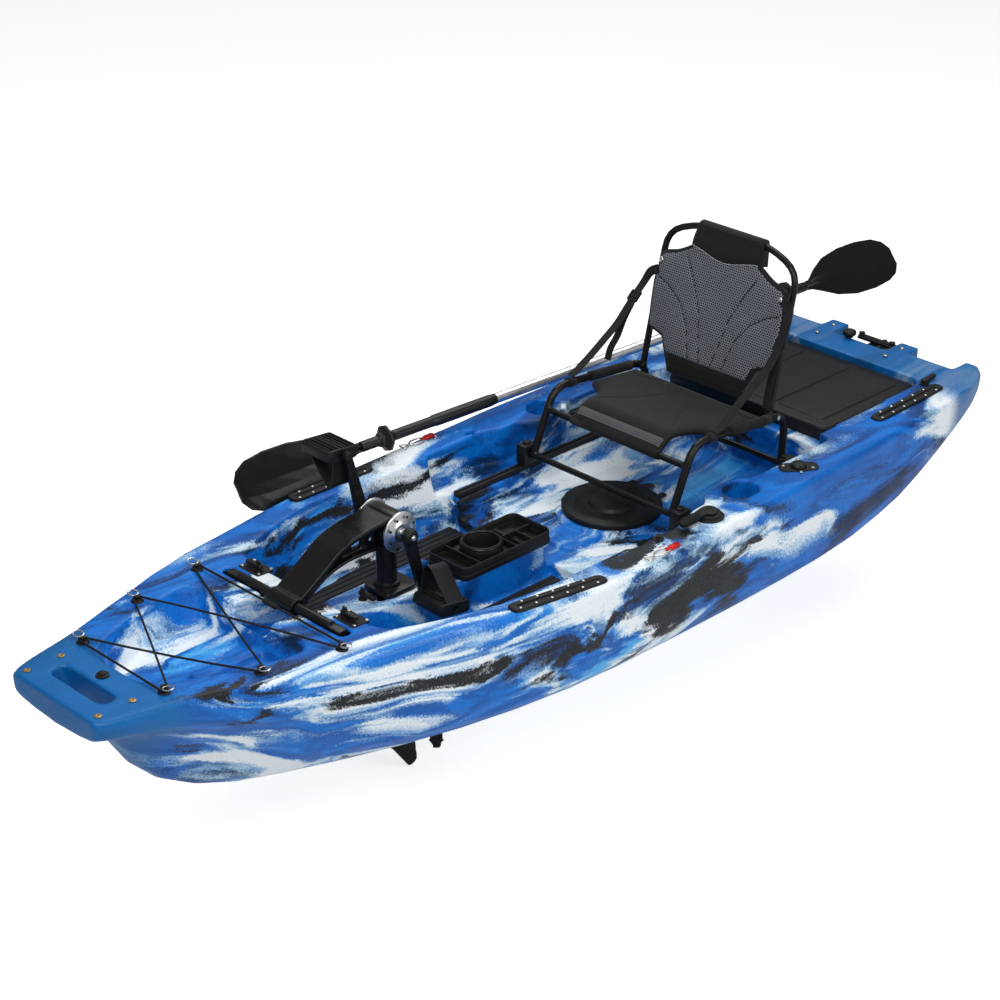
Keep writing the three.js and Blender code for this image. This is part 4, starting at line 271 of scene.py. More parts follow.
def mat_rubber():
    """Rubber with fine grooves across its ribs, 320 to the metre."""
    shader = Shader("mat_rubber", 0.66)
    shader.toned(18, 4, (0.009, 0.0095, 0.010), (0.020, 0.0205, 0.022))
    shader.worn(0.55, 0.75, 30)
    ribs = shader.math("PINGPONG", shader.math("MULTIPLY", shader.split()[0], 320), 0.5)
    shader.bump(ribs, 0.0005, 0.35)
    shader.bump(shader.noise(700, 2), 0.0003, 0.5)
    return shader.material


def brushed(name, tone, roughness=0.3, axis=0, scale=900):
    """Metal with fine brushed lines across one axis."""
    shader = Shader(name, roughness, 1.0)
    stretch = [6.0, 6.0, 6.0]
    stretch[axis] = scale
    lines = shader.noise(1.0, 3, 0.6, vector=shader.mapped(scale=tuple(stretch)))
    shader.set("Base Color", shader.mix(lines, tuple(c * 0.82 for c in tone), tone))
    shader.rough(lines, roughness * 0.75, roughness * 1.35)
    shader.bump(lines, 0.0001, 0.3)
    return shader.material


def weave(shader, operation, a, b, pitch):
    """Two sets of threads, each a sine along its own run."""
    threads = [shader.math("SINE", shader.math("MULTIPLY", run, pitch)) for run in (a, b)]
    return shader.math(operation, *threads)


def webbing():
    shader = Shader("strap_web", 0.75)
    x, y, z = shader.split()
    across = shader.math("SUBTRACT", x, shader.math("MULTIPLY", y, 0.3))
    shader.toned(40, 3, (0.004, 0.004, 0.0045), (0.010, 0.010, 0.0105))
    shader.set("Sheen Weight", 0.05)
    shader.bump(weave(shader, "MULTIPLY", shader.math("ADD", y, z), across, 2600), 0.0004, 0.5)
    return shader.material


def honeycomb(name, pitch, thread, hollow, tilt):
    """Spacer mesh: two offset grids of small round holes, in the plane of X and the sloped second axis."""
    shader = Shader(name, 0.62)
    x, y, z = shader.split()
    root = math.sqrt(3)
    run = shader.math("ADD", shader.math("MULTIPLY", y, tilt[0]), shader.math("MULTIPLY", z, tilt[1]))
    across = shader.math("DIVIDE", x, pitch)
    up = shader.math("DIVIDE", run, pitch * root)

    def cell(place, shift):
        return shader.math("SUBTRACT", shader.math("FRACT", shader.math("ADD", place, shift)), 0.5)

    def grid(shift):
        u, v = cell(across, shift), shader.math("MULTIPLY", cell(up, shift), root)
        squares = [shader.math("MULTIPLY", w, w) for w in (u, v)]
        return shader.math("SQRT", shader.math("ADD", *squares))

    strand = shader.step(shader.math("MINIMUM", grid(0.0), grid(0.5)), 0.25, 0.37)
    bright = shader.mix(shader.noise(9, 4), tuple(c * 0.75 for c in thread), tuple(c * 1.25 for c in thread))
    shader.set("Base Color", shader.mix(strand, hollow, bright))
    shader.set("Sheen Weight", 0.05)
    shader.bump(strand, 0.0012, 0.8)
    return shader.material


def ripstop(name, tone):
    """Plain woven cloth with soft creases."""
    shader = Shader(name, 0.7)
    x, y, z = shader.split()
    shader.toned(16, 4, (tone * 0.8,) * 3, (tone * 1.5,) * 3)
    shader.set("Sheen Weight", 0.06)
    shader.bump(shader.noise(26, 3, 0.6), 0.004, 0.35)
    shader.bump(weave(shader, "ADD", x, shader.math("ADD", y, z), 3800), 0.0003, 0.5)
    return shader.material


def paddle_tube():
    """Bare alloy tube whose two black sleeves end at the places given along the boat."""
    shader = Shader("paddle_alloy", 0.3)
    y = shader.split()[1]
    sleeve = shader.math("ADD", shader.step(y, 0.29, 0.286), shader.step(y, 1.04, 1.044), clamp=True)
    shader.set("Base Color", shader.mix(sleeve, (0.74, 0.75, 0.76), (0.012, 0.012, 0.013)))
    shader.set("Metallic", shader.math("SUBTRACT", 1.0, sleeve))
    cloud = shader.noise(1.0, 3, vector=shader.mapped(scale=(700, 6, 700)))
    shader.rough(cloud, 0.22, 0.42)
    shader.bump(cloud, 0.0001, 0.3)
    return shader.material


LOOKS = {
    "hull_shell": hull_shell(),
    "black_moulding": plain(
        "black_moulding", (9, 4, (0.005, 0.0052, 0.0056), (0.011, 0.0112, 0.012)), (0.4, 0.58, 22),
        (900, 0.7, 0.0003, 0.6),
    ),
    "black_paint": satin_paint("black_paint"),
    "cord_rubber": rubber("cord_rubber", 0.010, 1500),
    "mat_rubber": mat_rubber(),
    "clip_red": plain(
        "clip_red", (60, 3, (0.55, 0.012, 0.012), (0.75, 0.03, 0.025)), (0.25, 0.4, 80), metallic=0.55,
    ),
    "flange_steel": brushed("flange_steel", (0.78, 0.79, 0.80), 0.28, 0, 40),
    "gear_steel": brushed("gear_steel", (0.55, 0.56, 0.58), 0.32, 2),
    "strap_web": webbing(),
    "paddle_alloy": paddle_tube(),
    "paddle_blade": plain(
        "paddle_blade", (8, 4, (0.0035, 0.0035, 0.0035), (0.008, 0.0076, 0.0072)), (0.14, 0.26, 18),
        (500, 0.5, 0.0003, 0.5),
    ),
    "seat_mesh": honeycomb("seat_mesh", 0.0074, (0.165, 0.18, 0.205), (0.006, 0.007, 0.009), (0.23, 0.973)),
}
SEAT_STRIP = honeycomb("seat_strip", 0.0062, (0.10, 0.105, 0.115), (0.005, 0.005, 0.006), (0.993, 0.114))
CLOTH = ripstop("seat_cloth", 0.0035)
BRASS = brushed("brass_insert", (0.62, 0.42, 0.17), 0.3)
SCREW = brushed("screw_steel", (0.70, 0.69, 0.66), 0.28)
PIPING = ripstop("pale_piping", 0.34)
CORD_WHITE = ripstop("white_cord", 0.5)
GLOSS = satin_paint("gloss_moulding")
GRIP = rubber("lever_grip", 0.008, 900)


# Mesh helpers


def link(name, mesh, material, body=None):
    piece = bpy.data.objects.new(name, mesh)
    bpy.context.scene.collection.objects.link(piece)
    for one in material if isinstance(material, list) else [material]:
        mesh.materials.append(one)
    if body:
        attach(piece, body)
    return piece


def smooth(mesh, angle):
    mesh.shade_smooth()
    mesh.set_sharp_from_angle(angle=math.radians(angle))


def started(node, mesh):
    """An object for a copy of a CAD node's mesh, without the node's material."""
    mesh.materials.clear()
    piece = bpy.data.objects.new(node + "_form", mesh)
    bpy.context.scene.collection.objects.link(piece)
    return piece


def settled(piece, node):
    """Applies a piece's modifiers, gives it its finish and puts it in its CAD node's place."""
    graph = bpy.context.evaluated_depsgraph_get()
    mesh = bpy.data.meshes.new_from_object(piece.evaluated_get(graph))
    piece.modifiers.clear()
    piece.data = mesh
    mesh.materials.clear()
    mesh.materials.append(LOOKS[slot_of[node]])
    mesh.shade_smooth()
    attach(piece, body_of[node])
    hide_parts(node)
    return piece


THICKEN = {"growth": 0.0045, "rays": 96, "lift": 0.0004, "least": 0.05}


def thick_walled(mesh):
    """A copy of a hollow shell whose unseen inner skin is moved into the hollow, so thin walls stay whole."""
    body = bmesh.new()
    body.from_mesh(mesh)
    bmesh.ops.remove_doubles(body, verts=body.verts, dist=WELD)
    tree = BVHTree.FromBMesh(body)
    rays = []
    for i in range(THICKEN["rays"]):
        z = 1 - 2 * (i + 0.5) / THICKEN["rays"]
        angle, r = math.pi * (3 - math.sqrt(5)) * i, math.sqrt(1 - z * z)
        rays.append(Vector((r * math.cos(angle), r * math.sin(angle), z)))
    hidden = set()
    for face in body.faces:
        start = face.calc_center_median() + face.normal * THICKEN["lift"]
        least = THICKEN["least"]
        if all(ray.dot(face.normal) <= least or tree.ray_cast(start, ray)[0] is not None for ray in rays):
            hidden.add(face)
    largest = []
    while hidden:
        group = [hidden.pop()]
        for face in group:
            for edge in face.edges:
                for other in edge.link_faces:
                    if other in hidden:
                        hidden.remove(other)
                        group.append(other)
        largest = max(largest, group, key=len)
    pushes = {}
    for face in largest:
        for corner in face.verts:
            pushes[corner] = pushes.get(corner, Vector()) + face.normal * face.calc_area()
    for corner, push in pushes.items():
        corner.co += push.normalized() * THICKEN["growth"]
    grown = bpy.data.meshes.new(mesh.name + "_grown")
    body.to_mesh(grown)
    body.free()
    return grown


def moulded(node, voxel, relax, keep, prepare=None):
    """A copy of a CAD node with its edges melted round, as a moulding or a weld has them."""
    piece = started(node, prepare(nodes[node].data) if prepare else nodes[node].data.copy())
    remesh = piece.modifiers.new("remesh", "REMESH")
    remesh.mode = "VOXEL"
    remesh.voxel_size = voxel
    remesh.use_smooth_shade = True
    soften = piece.modifiers.new("soften", "SMOOTH")
    soften.factor = 0.5
    soften.iterations = relax
    thin = piece.modifiers.new("thin", "DECIMATE")
    thin.ratio = keep
    return settled(piece, node)


SHARP = 38


def dressed(bevel, *names):
    """Copies of CAD nodes with small bevels, in mm, that catch the light on their edges."""
    for node in names:
        mesh = nodes[node].data.copy()
        piece = started(node, mesh)
        welded = bmesh.new()
        welded.from_mesh(mesh)
        bmesh.ops.remove_doubles(welded, verts=welded.verts, dist=WELD)
        flat = math.radians(2)
        bmesh.ops.dissolve_limit(welded, angle_limit=flat, verts=welded.verts, edges=welded.edges)
        welded.to_mesh(mesh)
        welded.free()
        edge = piece.modifiers.new("edge", "BEVEL")
        edge.width = bevel * MM
        edge.segments = 2
        edge.limit_method = "ANGLE"
        edge.angle_limit = math.radians(SHARP)
        edge.use_clamp_overlap = True
        smooth(settled(piece, node).data, SHARP)


def ribbon(name, rows, material, body):
    """A smooth closed mesh from rings of points, one ring after another."""
    form = Form()
    form.rows(rows)
    mesh = bpy.data.meshes.new(name)
    mesh.from_pydata(form.points, [], form.faces)
    mesh.update()
    mesh.shade_smooth()
    return link(name, mesh, material, body)


def bent(points, radius, steps=5):
    """A path through points whose corners are rounded."""
    points = [Vector(p) for p in points]
    path = [points[0]]
    for before, corner, after in zip(points, points[1:], points[2:]):
        reach = min(radius, (before - corner).length * 0.45, (after - corner).length * 0.45)
        start = corner + (before - corner).normalized() * reach
        end = corner + (after - corner).normalized() * reach
        for k in range(steps + 1):
            t = k / steps
            path.append(start * (1 - t) ** 2 + corner * (2 * t * (1 - t)) + end * t**2)
    path.append(points[-1])
    return path


def run_at(path, i):
    return (path[min(i + 1, len(path) - 1)] - path[max(i - 1, 0)]).normalized()


def round_ring(centre, side, lift, radius, sides):
    turns = [math.tau * i / sides for i in range(sides)]
    return [centre + side * (radius * math.cos(t)) + lift * (radius * math.sin(t)) for t in turns]


def tube_rows(path, radius, sides=12, up=(0, 0, 1)):
    rows = []
    for i, point in enumerate(path):
        along = run_at(path, i)
        side = along.cross(Vector(up)).normalized()
        rows.append(round_ring(point, side, side.cross(along).normalized(), radius, sides))
    return rows


def tube(name, path, radius, material, body, sides=12, up=(0, 0, 1)):
    return ribbon(name, tube_rows(path, radius, sides, up), material, body)


def strap_rows(path, side, width, thick):
    """Rings of a flat strap whose width lies along side."""
    side = Vector(side).normalized()
    half, inner, face, edge = width / 2, width * 0.47, thick / 2, thick * 0.2
    corners = [(-half, -edge), (-inner, -face), (inner, -face), (half, -edge)]
    corners += [(half, edge), (inner, face), (-inner, face), (-half, edge)]
    rows = []
    for i, point in enumerate(path):
        along = run_at(path, i)
        normal = along.cross(side).normalized()
        across = normal.cross(along).normalized()
        rows.append([point + across * a + normal * b for a, b in corners])
    return rows


def turned_ring(matrix, radius, height, sides):
    turns = [math.tau * i / sides for i in range(sides)]
    return [matrix @ Vector((radius * math.cos(t), radius * math.sin(t), height)) for t in turns]


def placed(origin, across, along):
    """A matrix whose X is across and whose Y is along, at origin."""
    across = Vector(across).normalized()
    up = across.cross(Vector(along)).normalized()
    along = up.cross(across)
    turn = Matrix((across, along, up)).transposed().to_4x4()
    return Matrix.Translation(origin) @ turn


def facing(origin, axis):
    """A matrix whose Z looks along axis, at origin."""
    turn = Vector(axis).to_track_quat("Z", "Y").to_matrix().to_4x4()
    return Matrix.Translation(origin) @ turn


def round_corners(width, length, corner, steps):
    """The centre and the outward direction of each point on a rectangle's rounded outline."""
    for quarter, (sx, sy) in enumerate(((1, 1), (-1, 1), (-1, -1), (1, -1))):
        centre = Vector((sx * (width / 2 - corner), sy * (length / 2 - corner), 0))
        for k in range(steps + 1):
            angle = math.pi / 2 * (quarter + k / steps)
            yield centre, Vector((math.cos(angle), math.sin(angle), 0))


class Form:
    """A mesh put together from closed parts, each with its own look."""

    def __init__(self):
        self.points = []
        self.faces = []
        self.looks = []

    def rows(self, rows, look=0, ring=False):
        start, width = len(self.points), len(rows[0])
        self.points += [tuple(p) for row in rows for p in row]
        last = len(rows) if ring else len(rows) - 1
        for r in range(last):
            low, high = start + r * width, start + (r + 1) % len(rows) * width
            for i in range(width):
                j = (i + 1) % width
                self.faces.append((low + i, low + j, high + j, high + i))
                self.looks.append(look)
        if not ring:
            self.faces.append(tuple(start + i for i in reversed(range(width))))
            self.faces.append(tuple(start + (len(rows) - 1) * width + i for i in range(width)))
            self.looks += [look, look]

    def block(self, matrix, size, corner, chamfer, look=0):
        """A plate on its origin: width, length and height, with round corners and chamfered rims."""
        width, length, height = size
        rows = []
        for inset, z in ((chamfer, 0), (0, chamfer), (0, height - chamfer), (chamfer, height)):
            radius = max(corner - inset, 0.0001)
            outline = round_corners(width - 2 * inset, length - 2 * inset, radius, 4)
            rows.append([matrix @ (centre + out * radius + Vector((0, 0, z))) for centre, out in outline])
        self.rows(rows, look)

    def turned(self, matrix, profile, sides=24, look=0):
        """A turned part from (radius, height) pairs along the matrix's Z."""
        self.rows([turned_ring(matrix, radius, z, sides) for radius, z in profile], look)

    def loop(self, path, radius, look=0, sides=8, up=(0, 0, 1)):
        """A round wire bent into a closed loop."""
        path = [Vector(p) for p in path]
        count = len(path)
        rows = []
        for i, point in enumerate(path):
            along = (path[(i + 1) % count] - path[i - 1]).normalized()
            side = along.cross(Vector(up)).normalized()
            rows.append(round_ring(point, side, side.cross(along).normalized(), radius, sides))
        self.rows(rows, look, ring=True)

    def made(self, name, materials, body=None, angle=40):
        mesh = bpy.data.meshes.new(name)
        mesh.from_pydata(self.points, [], self.faces)
        mesh.update()
        piece = link(name, mesh, materials, body)
        mesh.polygons.foreach_set("material_index", self.looks)
        faced = bmesh.new()
        faced.from_mesh(mesh)
        bmesh.ops.recalc_face_normals(faced, faces=faced.faces)
        faced.to_mesh(mesh)
        faced.free()
        smooth(mesh, angle)
        return piece


def screw_into(form, matrix, radius, look=0):
    """A screw head with a rounded rim and a sunk middle."""
    form.turned(matrix, [
        (radius, 0), (radius, radius * 0.35), (radius * 0.8, radius * 0.6), (radius * 0.42, radius * 0.62),
        (radius * 0.36, radius * 0.3), (0.0001, radius * 0.3),
    ], 14, look)


def own_axes(node):
    """The middle of a flat fitting and its long, cross and upward directions, read from its solid."""
    points = np.array([v.co for v in nodes[node].data.vertices])
    middle = (points.min(0) + points.max(0)) / 2
    spread = np.cov((points - points.mean(0)).T)
    values, vectors = np.linalg.eigh(spread)
    up = Vector(vectors[:, 0])
    if up.z < 0:
        up = -up
    along = Vector(vectors[:, 2])
    if along.y < 0:
        along = -along
    return Vector(middle), along.normalized(), along.cross(up).normalized(), up.normalized()


# Hull

moulded("hull", 0.0055, 4, 0.42, thick_walled)

# Deck fittings

# Spread and rise of a track screw's domed head, as shares of its radius and height
DOME = ((1.0, 0.0), (0.96, 0.45), (0.7, 0.85), (0.3, 1.0))
TRACK = {"length": 0.282, "pitch": 0.046, "width": 0.038, "screw": 0.0038, "rise": 0.0018, "top": 0.0044}


def track_screws(node):
    middle, along, across, up = own_axes(node)
    turn = Matrix((across, along, up)).transposed().to_4x4()
    first = (TRACK["width"] - TRACK["length"]) / 2
    profile = [(TRACK["screw"] * spread, TRACK["rise"] * rise) for spread, rise in DOME]
    form = Form()
    for side, count, shift in ((-1, 5, 0.5), (1, 6, 0)):
        for i in range(count):
            run = first + TRACK["pitch"] * (i + shift)
            point = middle + along * run + across * (side * TRACK["width"] * 0.33) + up * TRACK["top"]
            form.turned(Matrix.Translation(point) @ turn, profile, 10)
    form.made(node + "_screws", [SCREW], "hull", 50)


for where in ("front", "rear"):
    for side, _ in SIDES:
        dressed(1.2, f"{where}_track_{side}")
        track_screws(f"{where}_track_{side}")

dressed(0.6, *[name for name in nodes if name.startswith("pad_eye")])
moulded("bungee_cord", 0.0014, 2, 0.5)
dressed(1.2, "bow_drain_plug", "console_tray", "cup_holder", "seat_rail_port", "seat_rail_starboard")
dressed(0.8, "floor_mat_port", "floor_mat_starboard")
dressed(2.0, "floor_hatch_lid", "rear_hatch_lid")
dressed(1.0, "rear_hatch_hook", "steering_dial", "steering_lever", "rod_holder_port", "rod_holder_cap")
dressed(0.8, "deck_eyelet_port")

# Drive

dressed(1.2, "drive_crossbar", "crank_housing", "drive_leg")
moulded("drive_arch", 0.0025, 3, 0.6)
moulded("lower_unit", 0.003, 3, 0.6)
dressed(1.0, "crank_flange_port", "crank_flange_starboard")
dressed(0.4, "crank_axle", "vertical_shaft")
moulded("crank_port", 0.0022, 3, 0.6)
moulded("crank_starboard", 0.0022, 3, 0.6)
dressed(1.0, "pedal_port", "pedal_starboard")
moulded("propeller", 0.002, 3, 0.6)
dressed(0.9, "drive_latch_port", "drive_latch_starboard", "drive_latch_rear")

# Rudder and paddle

dressed(1.0, "rudder_bracket", "rudder_head", "rudder_blade")
moulded("paddle_blade_front", 0.0024, 3, 0.5)
moulded("paddle_blade_rear", 0.0024, 3, 0.5)
moulded("paddle_shaft", 0.0028, 2, 0.5)

# Seat frame and hoop

moulded("seat_frame", 0.0028, 3, 0.6)
moulded("back_hoop", 0.0028, 3, 0.6)
dressed(1.5, "seat_clamp_port", "seat_clamp_starboard")

# Seat fabric

PANEL = {"half": 0.2284, "front": 0.302, "back": 0.634, "knee": (0.335, 0.452), "heel": (0.690, 0.418)}
BACK = {"pivot": joint_of["backrest_fold"]["pos_m"], "lean": math.radians(13.3), "low": 0.014, "high": 0.420}
SLING_BAR = {"y": 0.311, "z": 0.396, "radius": 0.009}


def loop_height(y):
    (y0, z0), (y1, z1) = PANEL["knee"], PANEL["heel"]
    return z0 + (z1 - z0) * (y - y0) / (y1 - y0)


def curve_through(points):
    """A smooth function through (place, value) points that doesn't swing past them."""
    places, values = (np.array(v, float) for v in zip(*points))
    slopes = np.diff(values) / np.diff(places)
    tangents = np.zeros(len(values))
    tangents[0], tangents[-1] = slopes[0], slopes[-1]
    for i in range(1, len(values) - 1):
        a, b = slopes[i - 1], slopes[i]
        tangents[i] = 0 if a * b <= 0 else 2 * a * b / (a + b)

    def value(place):
        i = int(np.clip(np.searchsorted(places, place) - 1, 0, len(slopes) - 1))
        h = places[i + 1] - places[i]
        t = min(1.0, max(0.0, (place - places[i]) / h))
        start = (1 + 2 * t) * (1 - t) ** 2 * values[i] + t * (1 - t) ** 2 * h * tangents[i]
        return start + t * t * (3 - 2 * t) * values[i + 1] + t * t * (t - 1) * h * tangents[i + 1]

    return value


def distance_to_lines(points, lines):
    """The shortest distance from each 2-D point to any of several polylines."""
    points = np.array(points, float)
    best = np.ones(len(points))
    for line in lines:
        for a, b in zip(np.array(line[:-1], float), np.array(line[1:], float)):
            ab = b - a
            size = max(float(ab @ ab), 1e-12)
            t = np.clip(((points - a) @ ab) / size, 0, 1)
            best = np.minimum(best, np.linalg.norm(points - a - t[:, None] * ab, axis=1))
    return best


def both_sides(lines):
    return lines + [[(-x, h) for x, h in line] for line in lines]


# Half width of the back panel at each height above its pivot
BACK_EDGE = curve_through([
    (0.014, 0.124), (0.041, 0.135), (0.075, 0.151), (0.098, 0.160), (0.106, 0.186), (0.114, 0.212),
    (0.150, 0.217), (0.238, 0.222), (0.291, 0.215), (0.316, 0.211), (0.324, 0.200), (0.336, 0.160),
    (0.352, 0.130), (0.362, 0.114), (0.390, 0.106), (0.420, 0.102),
])
BACK_SEAMS = both_sides([
    [(0.020, 0.070), (0.037, 0.140), (0.050, 0.200), (0.085, 0.275), (0.125, 0.342)],
    [(0.058, 0.070), (0.082, 0.155), (0.119, 0.207), (0.165, 0.239), (0.219, 0.259)],
])
BAND_LOW = curve_through([(-0.24, 0.363), (-0.113, 0.361), (0, 0.340), (0.113, 0.361), (0.24, 0.363)])
BACK_PAD = {
    "face": 0.0255, "rear": 0.0102, "rim": 0.002, "crown": 0.030, "border": 0.010, "binding": 0.0012,
    "foot": 0.064, "foot_seam": 0.041, "foot_thin": 0.006, "foot_run": 0.060,
    "fold": 0.003, "fold_reach": 0.006,
}
STITCH = {"reach": 0.0075, "depth": 0.0042}


def swelled(edge, crown):
    """How far a pad has risen, from 0 to 1, at a distance from its edge, and the share of that distance."""
    share = min(1.0, max(0.0, edge) / crown)
    return math.sqrt(1 - (1 - share) ** 2), share


def pad_grid(half_at, low, high, columns, rows):
    """(across, along) places over a pad, closer together towards its sides."""
    points = []
    for r in range(rows + 1):
        along = low + (high - low) * r / rows
        half = half_at(along)
        points += [(half * math.sin(math.pi / 2 * (2 * k / columns - 1)), along) for k in range(columns + 1)]
    return points


def padding(name, front, behind, columns, look_at, other_look, materials, body):
    """A closed pad from two grids of points, one over the other, joined along their rim."""
    size, offset = columns + 1, len(front)
    rows = offset // size - 1
    faces, looks = [], []
    for r in range(rows):
        for k in range(columns):
            a, d = r * size + k, (r + 1) * size + k
            faces += [(a, a + 1, d + 1, d), (offset + d, offset + d + 1, offset + a + 1, offset + a)]
            looks += [look_at(a, d + 1), other_look]
    rim = list(range(size))
    rim += [r * size + columns for r in range(1, rows + 1)]
    rim += [rows * size + k for k in range(columns - 1, -1, -1)]
    rim += [r * size for r in range(rows - 1, 0, -1)]
    for a, b in zip(rim, rim[1:] + rim[:1]):
        faces.append((a, offset + a, offset + b, b))
        looks.append(other_look)
    mesh = bpy.data.meshes.new(name)
    mesh.from_pydata([tuple(p) for p in front + behind], [], faces)
    mesh.update()
    piece = link(name, mesh, materials, body)
    mesh.polygons.foreach_set("material_index", looks)
    mesh.shade_smooth()
    return piece


def back_point(x, depth, height):
    """A point of the leaning backrest: depth is forward of the hoop's plane, height is along it."""
    _, y, z = BACK["pivot"]
    s, c = math.sin(BACK["lean"]), math.cos(BACK["lean"])
    return Vector((x, y - depth * c + height * s, z + depth * s + height * c))


def back_outline():
    """The panel's edge as one line, from the middle of its foot up to the top of each side."""
    side = [(BACK_EDGE(h), h) for h in np.linspace(BACK["low"], BACK["high"], 110)]
    return both_sides([[(0.0, BACK["low"])] + side])


def back_cushion():
    pad, columns = BACK_PAD, 96
    flat = pad_grid(BACK_EDGE, BACK["low"], BACK["high"], columns, 110)
    edges = distance_to_lines(flat, back_outline())
    seams = distance_to_lines(flat, BACK_SEAMS)
    depths = []
    for (x, height), edge, seam in zip(flat, edges, seams):
        swell, rise = swelled(edge, pad["crown"])
        sink = STITCH["depth"] * max(0.0, 1 - seam / STITCH["reach"]) ** 1.5 * rise
        folds = (height - pad["foot"], height - BAND_LOW(x), abs(height - pad["foot_seam"]) + 0.002)
        sink += pad["fold"] * max(0.0, 1 - min(abs(fold) for fold in folds) / pad["fold_reach"]) * rise
        binding = pad["binding"] * max(0.0, 1 - abs(edge - pad["border"]) / 0.003)
        foot = pad["foot_thin"] * max(0.0, 1 - (height - BACK["low"]) / pad["foot_run"])
        low = pad["rear"] + pad["rim"]
        depths.append(low + (pad["face"] - foot - low) * swell - sink - binding)

    def look_at(a, c):
        """Plain cloth on the foot, the band and the border, and mesh between them."""
        (x0, low), (x1, high) = flat[a], flat[c]
        height = (low + high) / 2
        border = (edges[a] + edges[c]) / 2 < pad["border"]
        return 1 if height < pad["foot"] or height > BAND_LOW((x0 + x1) / 2) or border else 0

    front = [back_point(x, depth, height) for (x, height), depth in zip(flat, depths)]
    behind = [back_point(x, pad["rear"], height) for x, height in flat]
    looks = [LOOKS["seat_mesh"], CLOTH]
    piece = padding("back_cushion", front, behind, columns, look_at, 1, looks, "backrest")
    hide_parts("back_panel")


BAND = {"half": 0.104, "low": 0.358, "high": 0.414, "wrap": 0.0145, "bulge": 0.0018, "columns": 28}


def band_ring(u):
    """One ring of the head band, at u from -1 to 1 across it."""
    low, high, wrap = BAND["low"], BAND["high"], BAND["wrap"]
    bulge = BAND["bulge"] * math.cos(u * math.pi / 2)
    front_low = BAND_LOW(u * BAND["half"])
    places = []
    for k in range(21):
        angle = math.pi * k / 20
        places.append((0.004 + (wrap + 0.004 + bulge) * math.cos(angle), high + wrap * math.sin(angle)))
    places += [(-wrap, high + (low - high) * t) for t in (0.25, 0.5, 0.75, 1.0)]
    places += [(0.0, low), (0.0245, front_low)]
    for t in (0.25, 0.5, 0.75):
        places.append((0.0275 - 0.005 * t**2 + bulge, front_low + (high - front_low) * t))
    ring = []
    for depth, height in places:
        spread = BAND["half"] + 0.12 * max(0.0, high - height) * (1.2 if height < 0.39 else 1.0)
        ring.append(back_point(u * spread, depth, height))
    return ring


def head_band():
    """The black cover that wraps the top of the hoop, its pale piping, and a dark cloth cord in each seam groove
    below it as painted shade of the grooves.
    """
    rows = [band_ring(2 * i / BAND["columns"] - 1) for i in range(BAND["columns"] + 1)]
    piece = ribbon("head_band", rows, CLOTH, "backrest")
    # Painted shade: a dark cloth cord laid in each seam groove darkens the line where the groove's shade falls.
    for number, line in enumerate(BACK_SEAMS):
        steps = [Vector(a).lerp(Vector(b), t) for a, b in zip(line, line[1:]) for t in (0, 0.25, 0.5, 0.75)]
        path = [back_point(p.x, 0.0222, p.y) for p in steps if p.y > BACK_PAD["foot"]]
        tube(f"back_seam_{number}", path, 0.0014, CLOTH, "backrest", 6, (0, 1, 0))
    edge = [back_point(x, 0.0272, BAND_LOW(x)) for x in np.linspace(-0.111, 0.111, 25)]
    tube("head_band_piping", edge, 0.0010, PIPING, "backrest", 6)


# Half width of the sling at each place along the boat
SLING_EDGE = curve_through([
    (0.302, 0.150), (0.365, 0.1505), (0.414, 0.160), (0.436, 0.180), (0.452, 0.212), (0.468, 0.2284),
    (0.640, 0.2284),
])
SLING_SEAMS = both_sides([
    [(0.148, 0.355), (0.075, 0.468), (0.042, 0.552), (0.026, 0.640)],
    [(0.229, 0.592), (0.183, 0.588), (0.112, 0.604), (0.060, 0.640)],
])
SLING_PAD = {
    "thick": 0.003, "crown": 0.026, "swell": 0.012, "below_tube": 0.017, "sag": 0.006, "drop": 0.050,
    "drop_run": 0.075, "seam_depth": 0.0036, "seam_reach": 0.008, "strip_seam": 0.334, "strip_depth": 0.002,
    "strip_reach": 0.005, "strip": (0.312, 0.333), "strip_edge": 0.009,
}


def seat_cushion():
    """The sling seat: padded cloth with a strip of mesh at its front, rolled over the front bar."""
    pad, columns = SLING_PAD, 84
    first, last, half = PANEL["front"], PANEL["back"], PANEL["half"]
    flat = pad_grid(SLING_EDGE, first, last, columns, 100)
    outline = both_sides([[(SLING_EDGE(y), y) for y in np.linspace(first, last, 80)]])
    outline.append([(-half, last), (half, last)])
    edges = distance_to_lines(flat, outline)
    seams = distance_to_lines(flat, SLING_SEAMS)
    top, under = [], []
    for (x, y), edge, seam in zip(flat, edges, seams):
        drop = pad["drop"] * max(0.0, 1 - (y - first) / pad["drop_run"]) ** 2
        swell, rise = swelled(edge, pad["crown"])
        run = (y - first) / (last - first)
        sag = pad["sag"] * (1 - (x / half) ** 2) * math.sin(math.pi * min(1.0, run * 1.1))
        sink = pad["seam_depth"] * max(0.0, 1 - seam / pad["seam_reach"]) ** 1.5 * rise
        sink += pad["strip_depth"] * max(0.0, 1 - abs(y - pad["strip_seam"]) / pad["strip_reach"]) * rise
        base = loop_height(y) - pad["below_tube"] - drop
        reach = SLING_BAR["radius"] ** 2 - (y - SLING_BAR["y"]) ** 2
        low = max(base - 0.002 - sag, SLING_BAR["z"] + math.sqrt(max(0.0, reach)) + 0.0006)
        under.append(Vector((x, y, low)))
        crest = base + pad["swell"] * swell + pad["thick"] - sink - sag
        top.append(Vector((x, y, max(low + pad["thick"], crest))))

    def look_at(a, _):
        return 1 if edges[a] > pad["strip_edge"] and pad["strip"][0] < top[a].y < pad["strip"][1] else 0

    piece = padding("seat_cushion", top, under, columns, look_at, 0, [CLOTH, SEAT_STRIP], "seat")
    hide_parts("seat_panel")


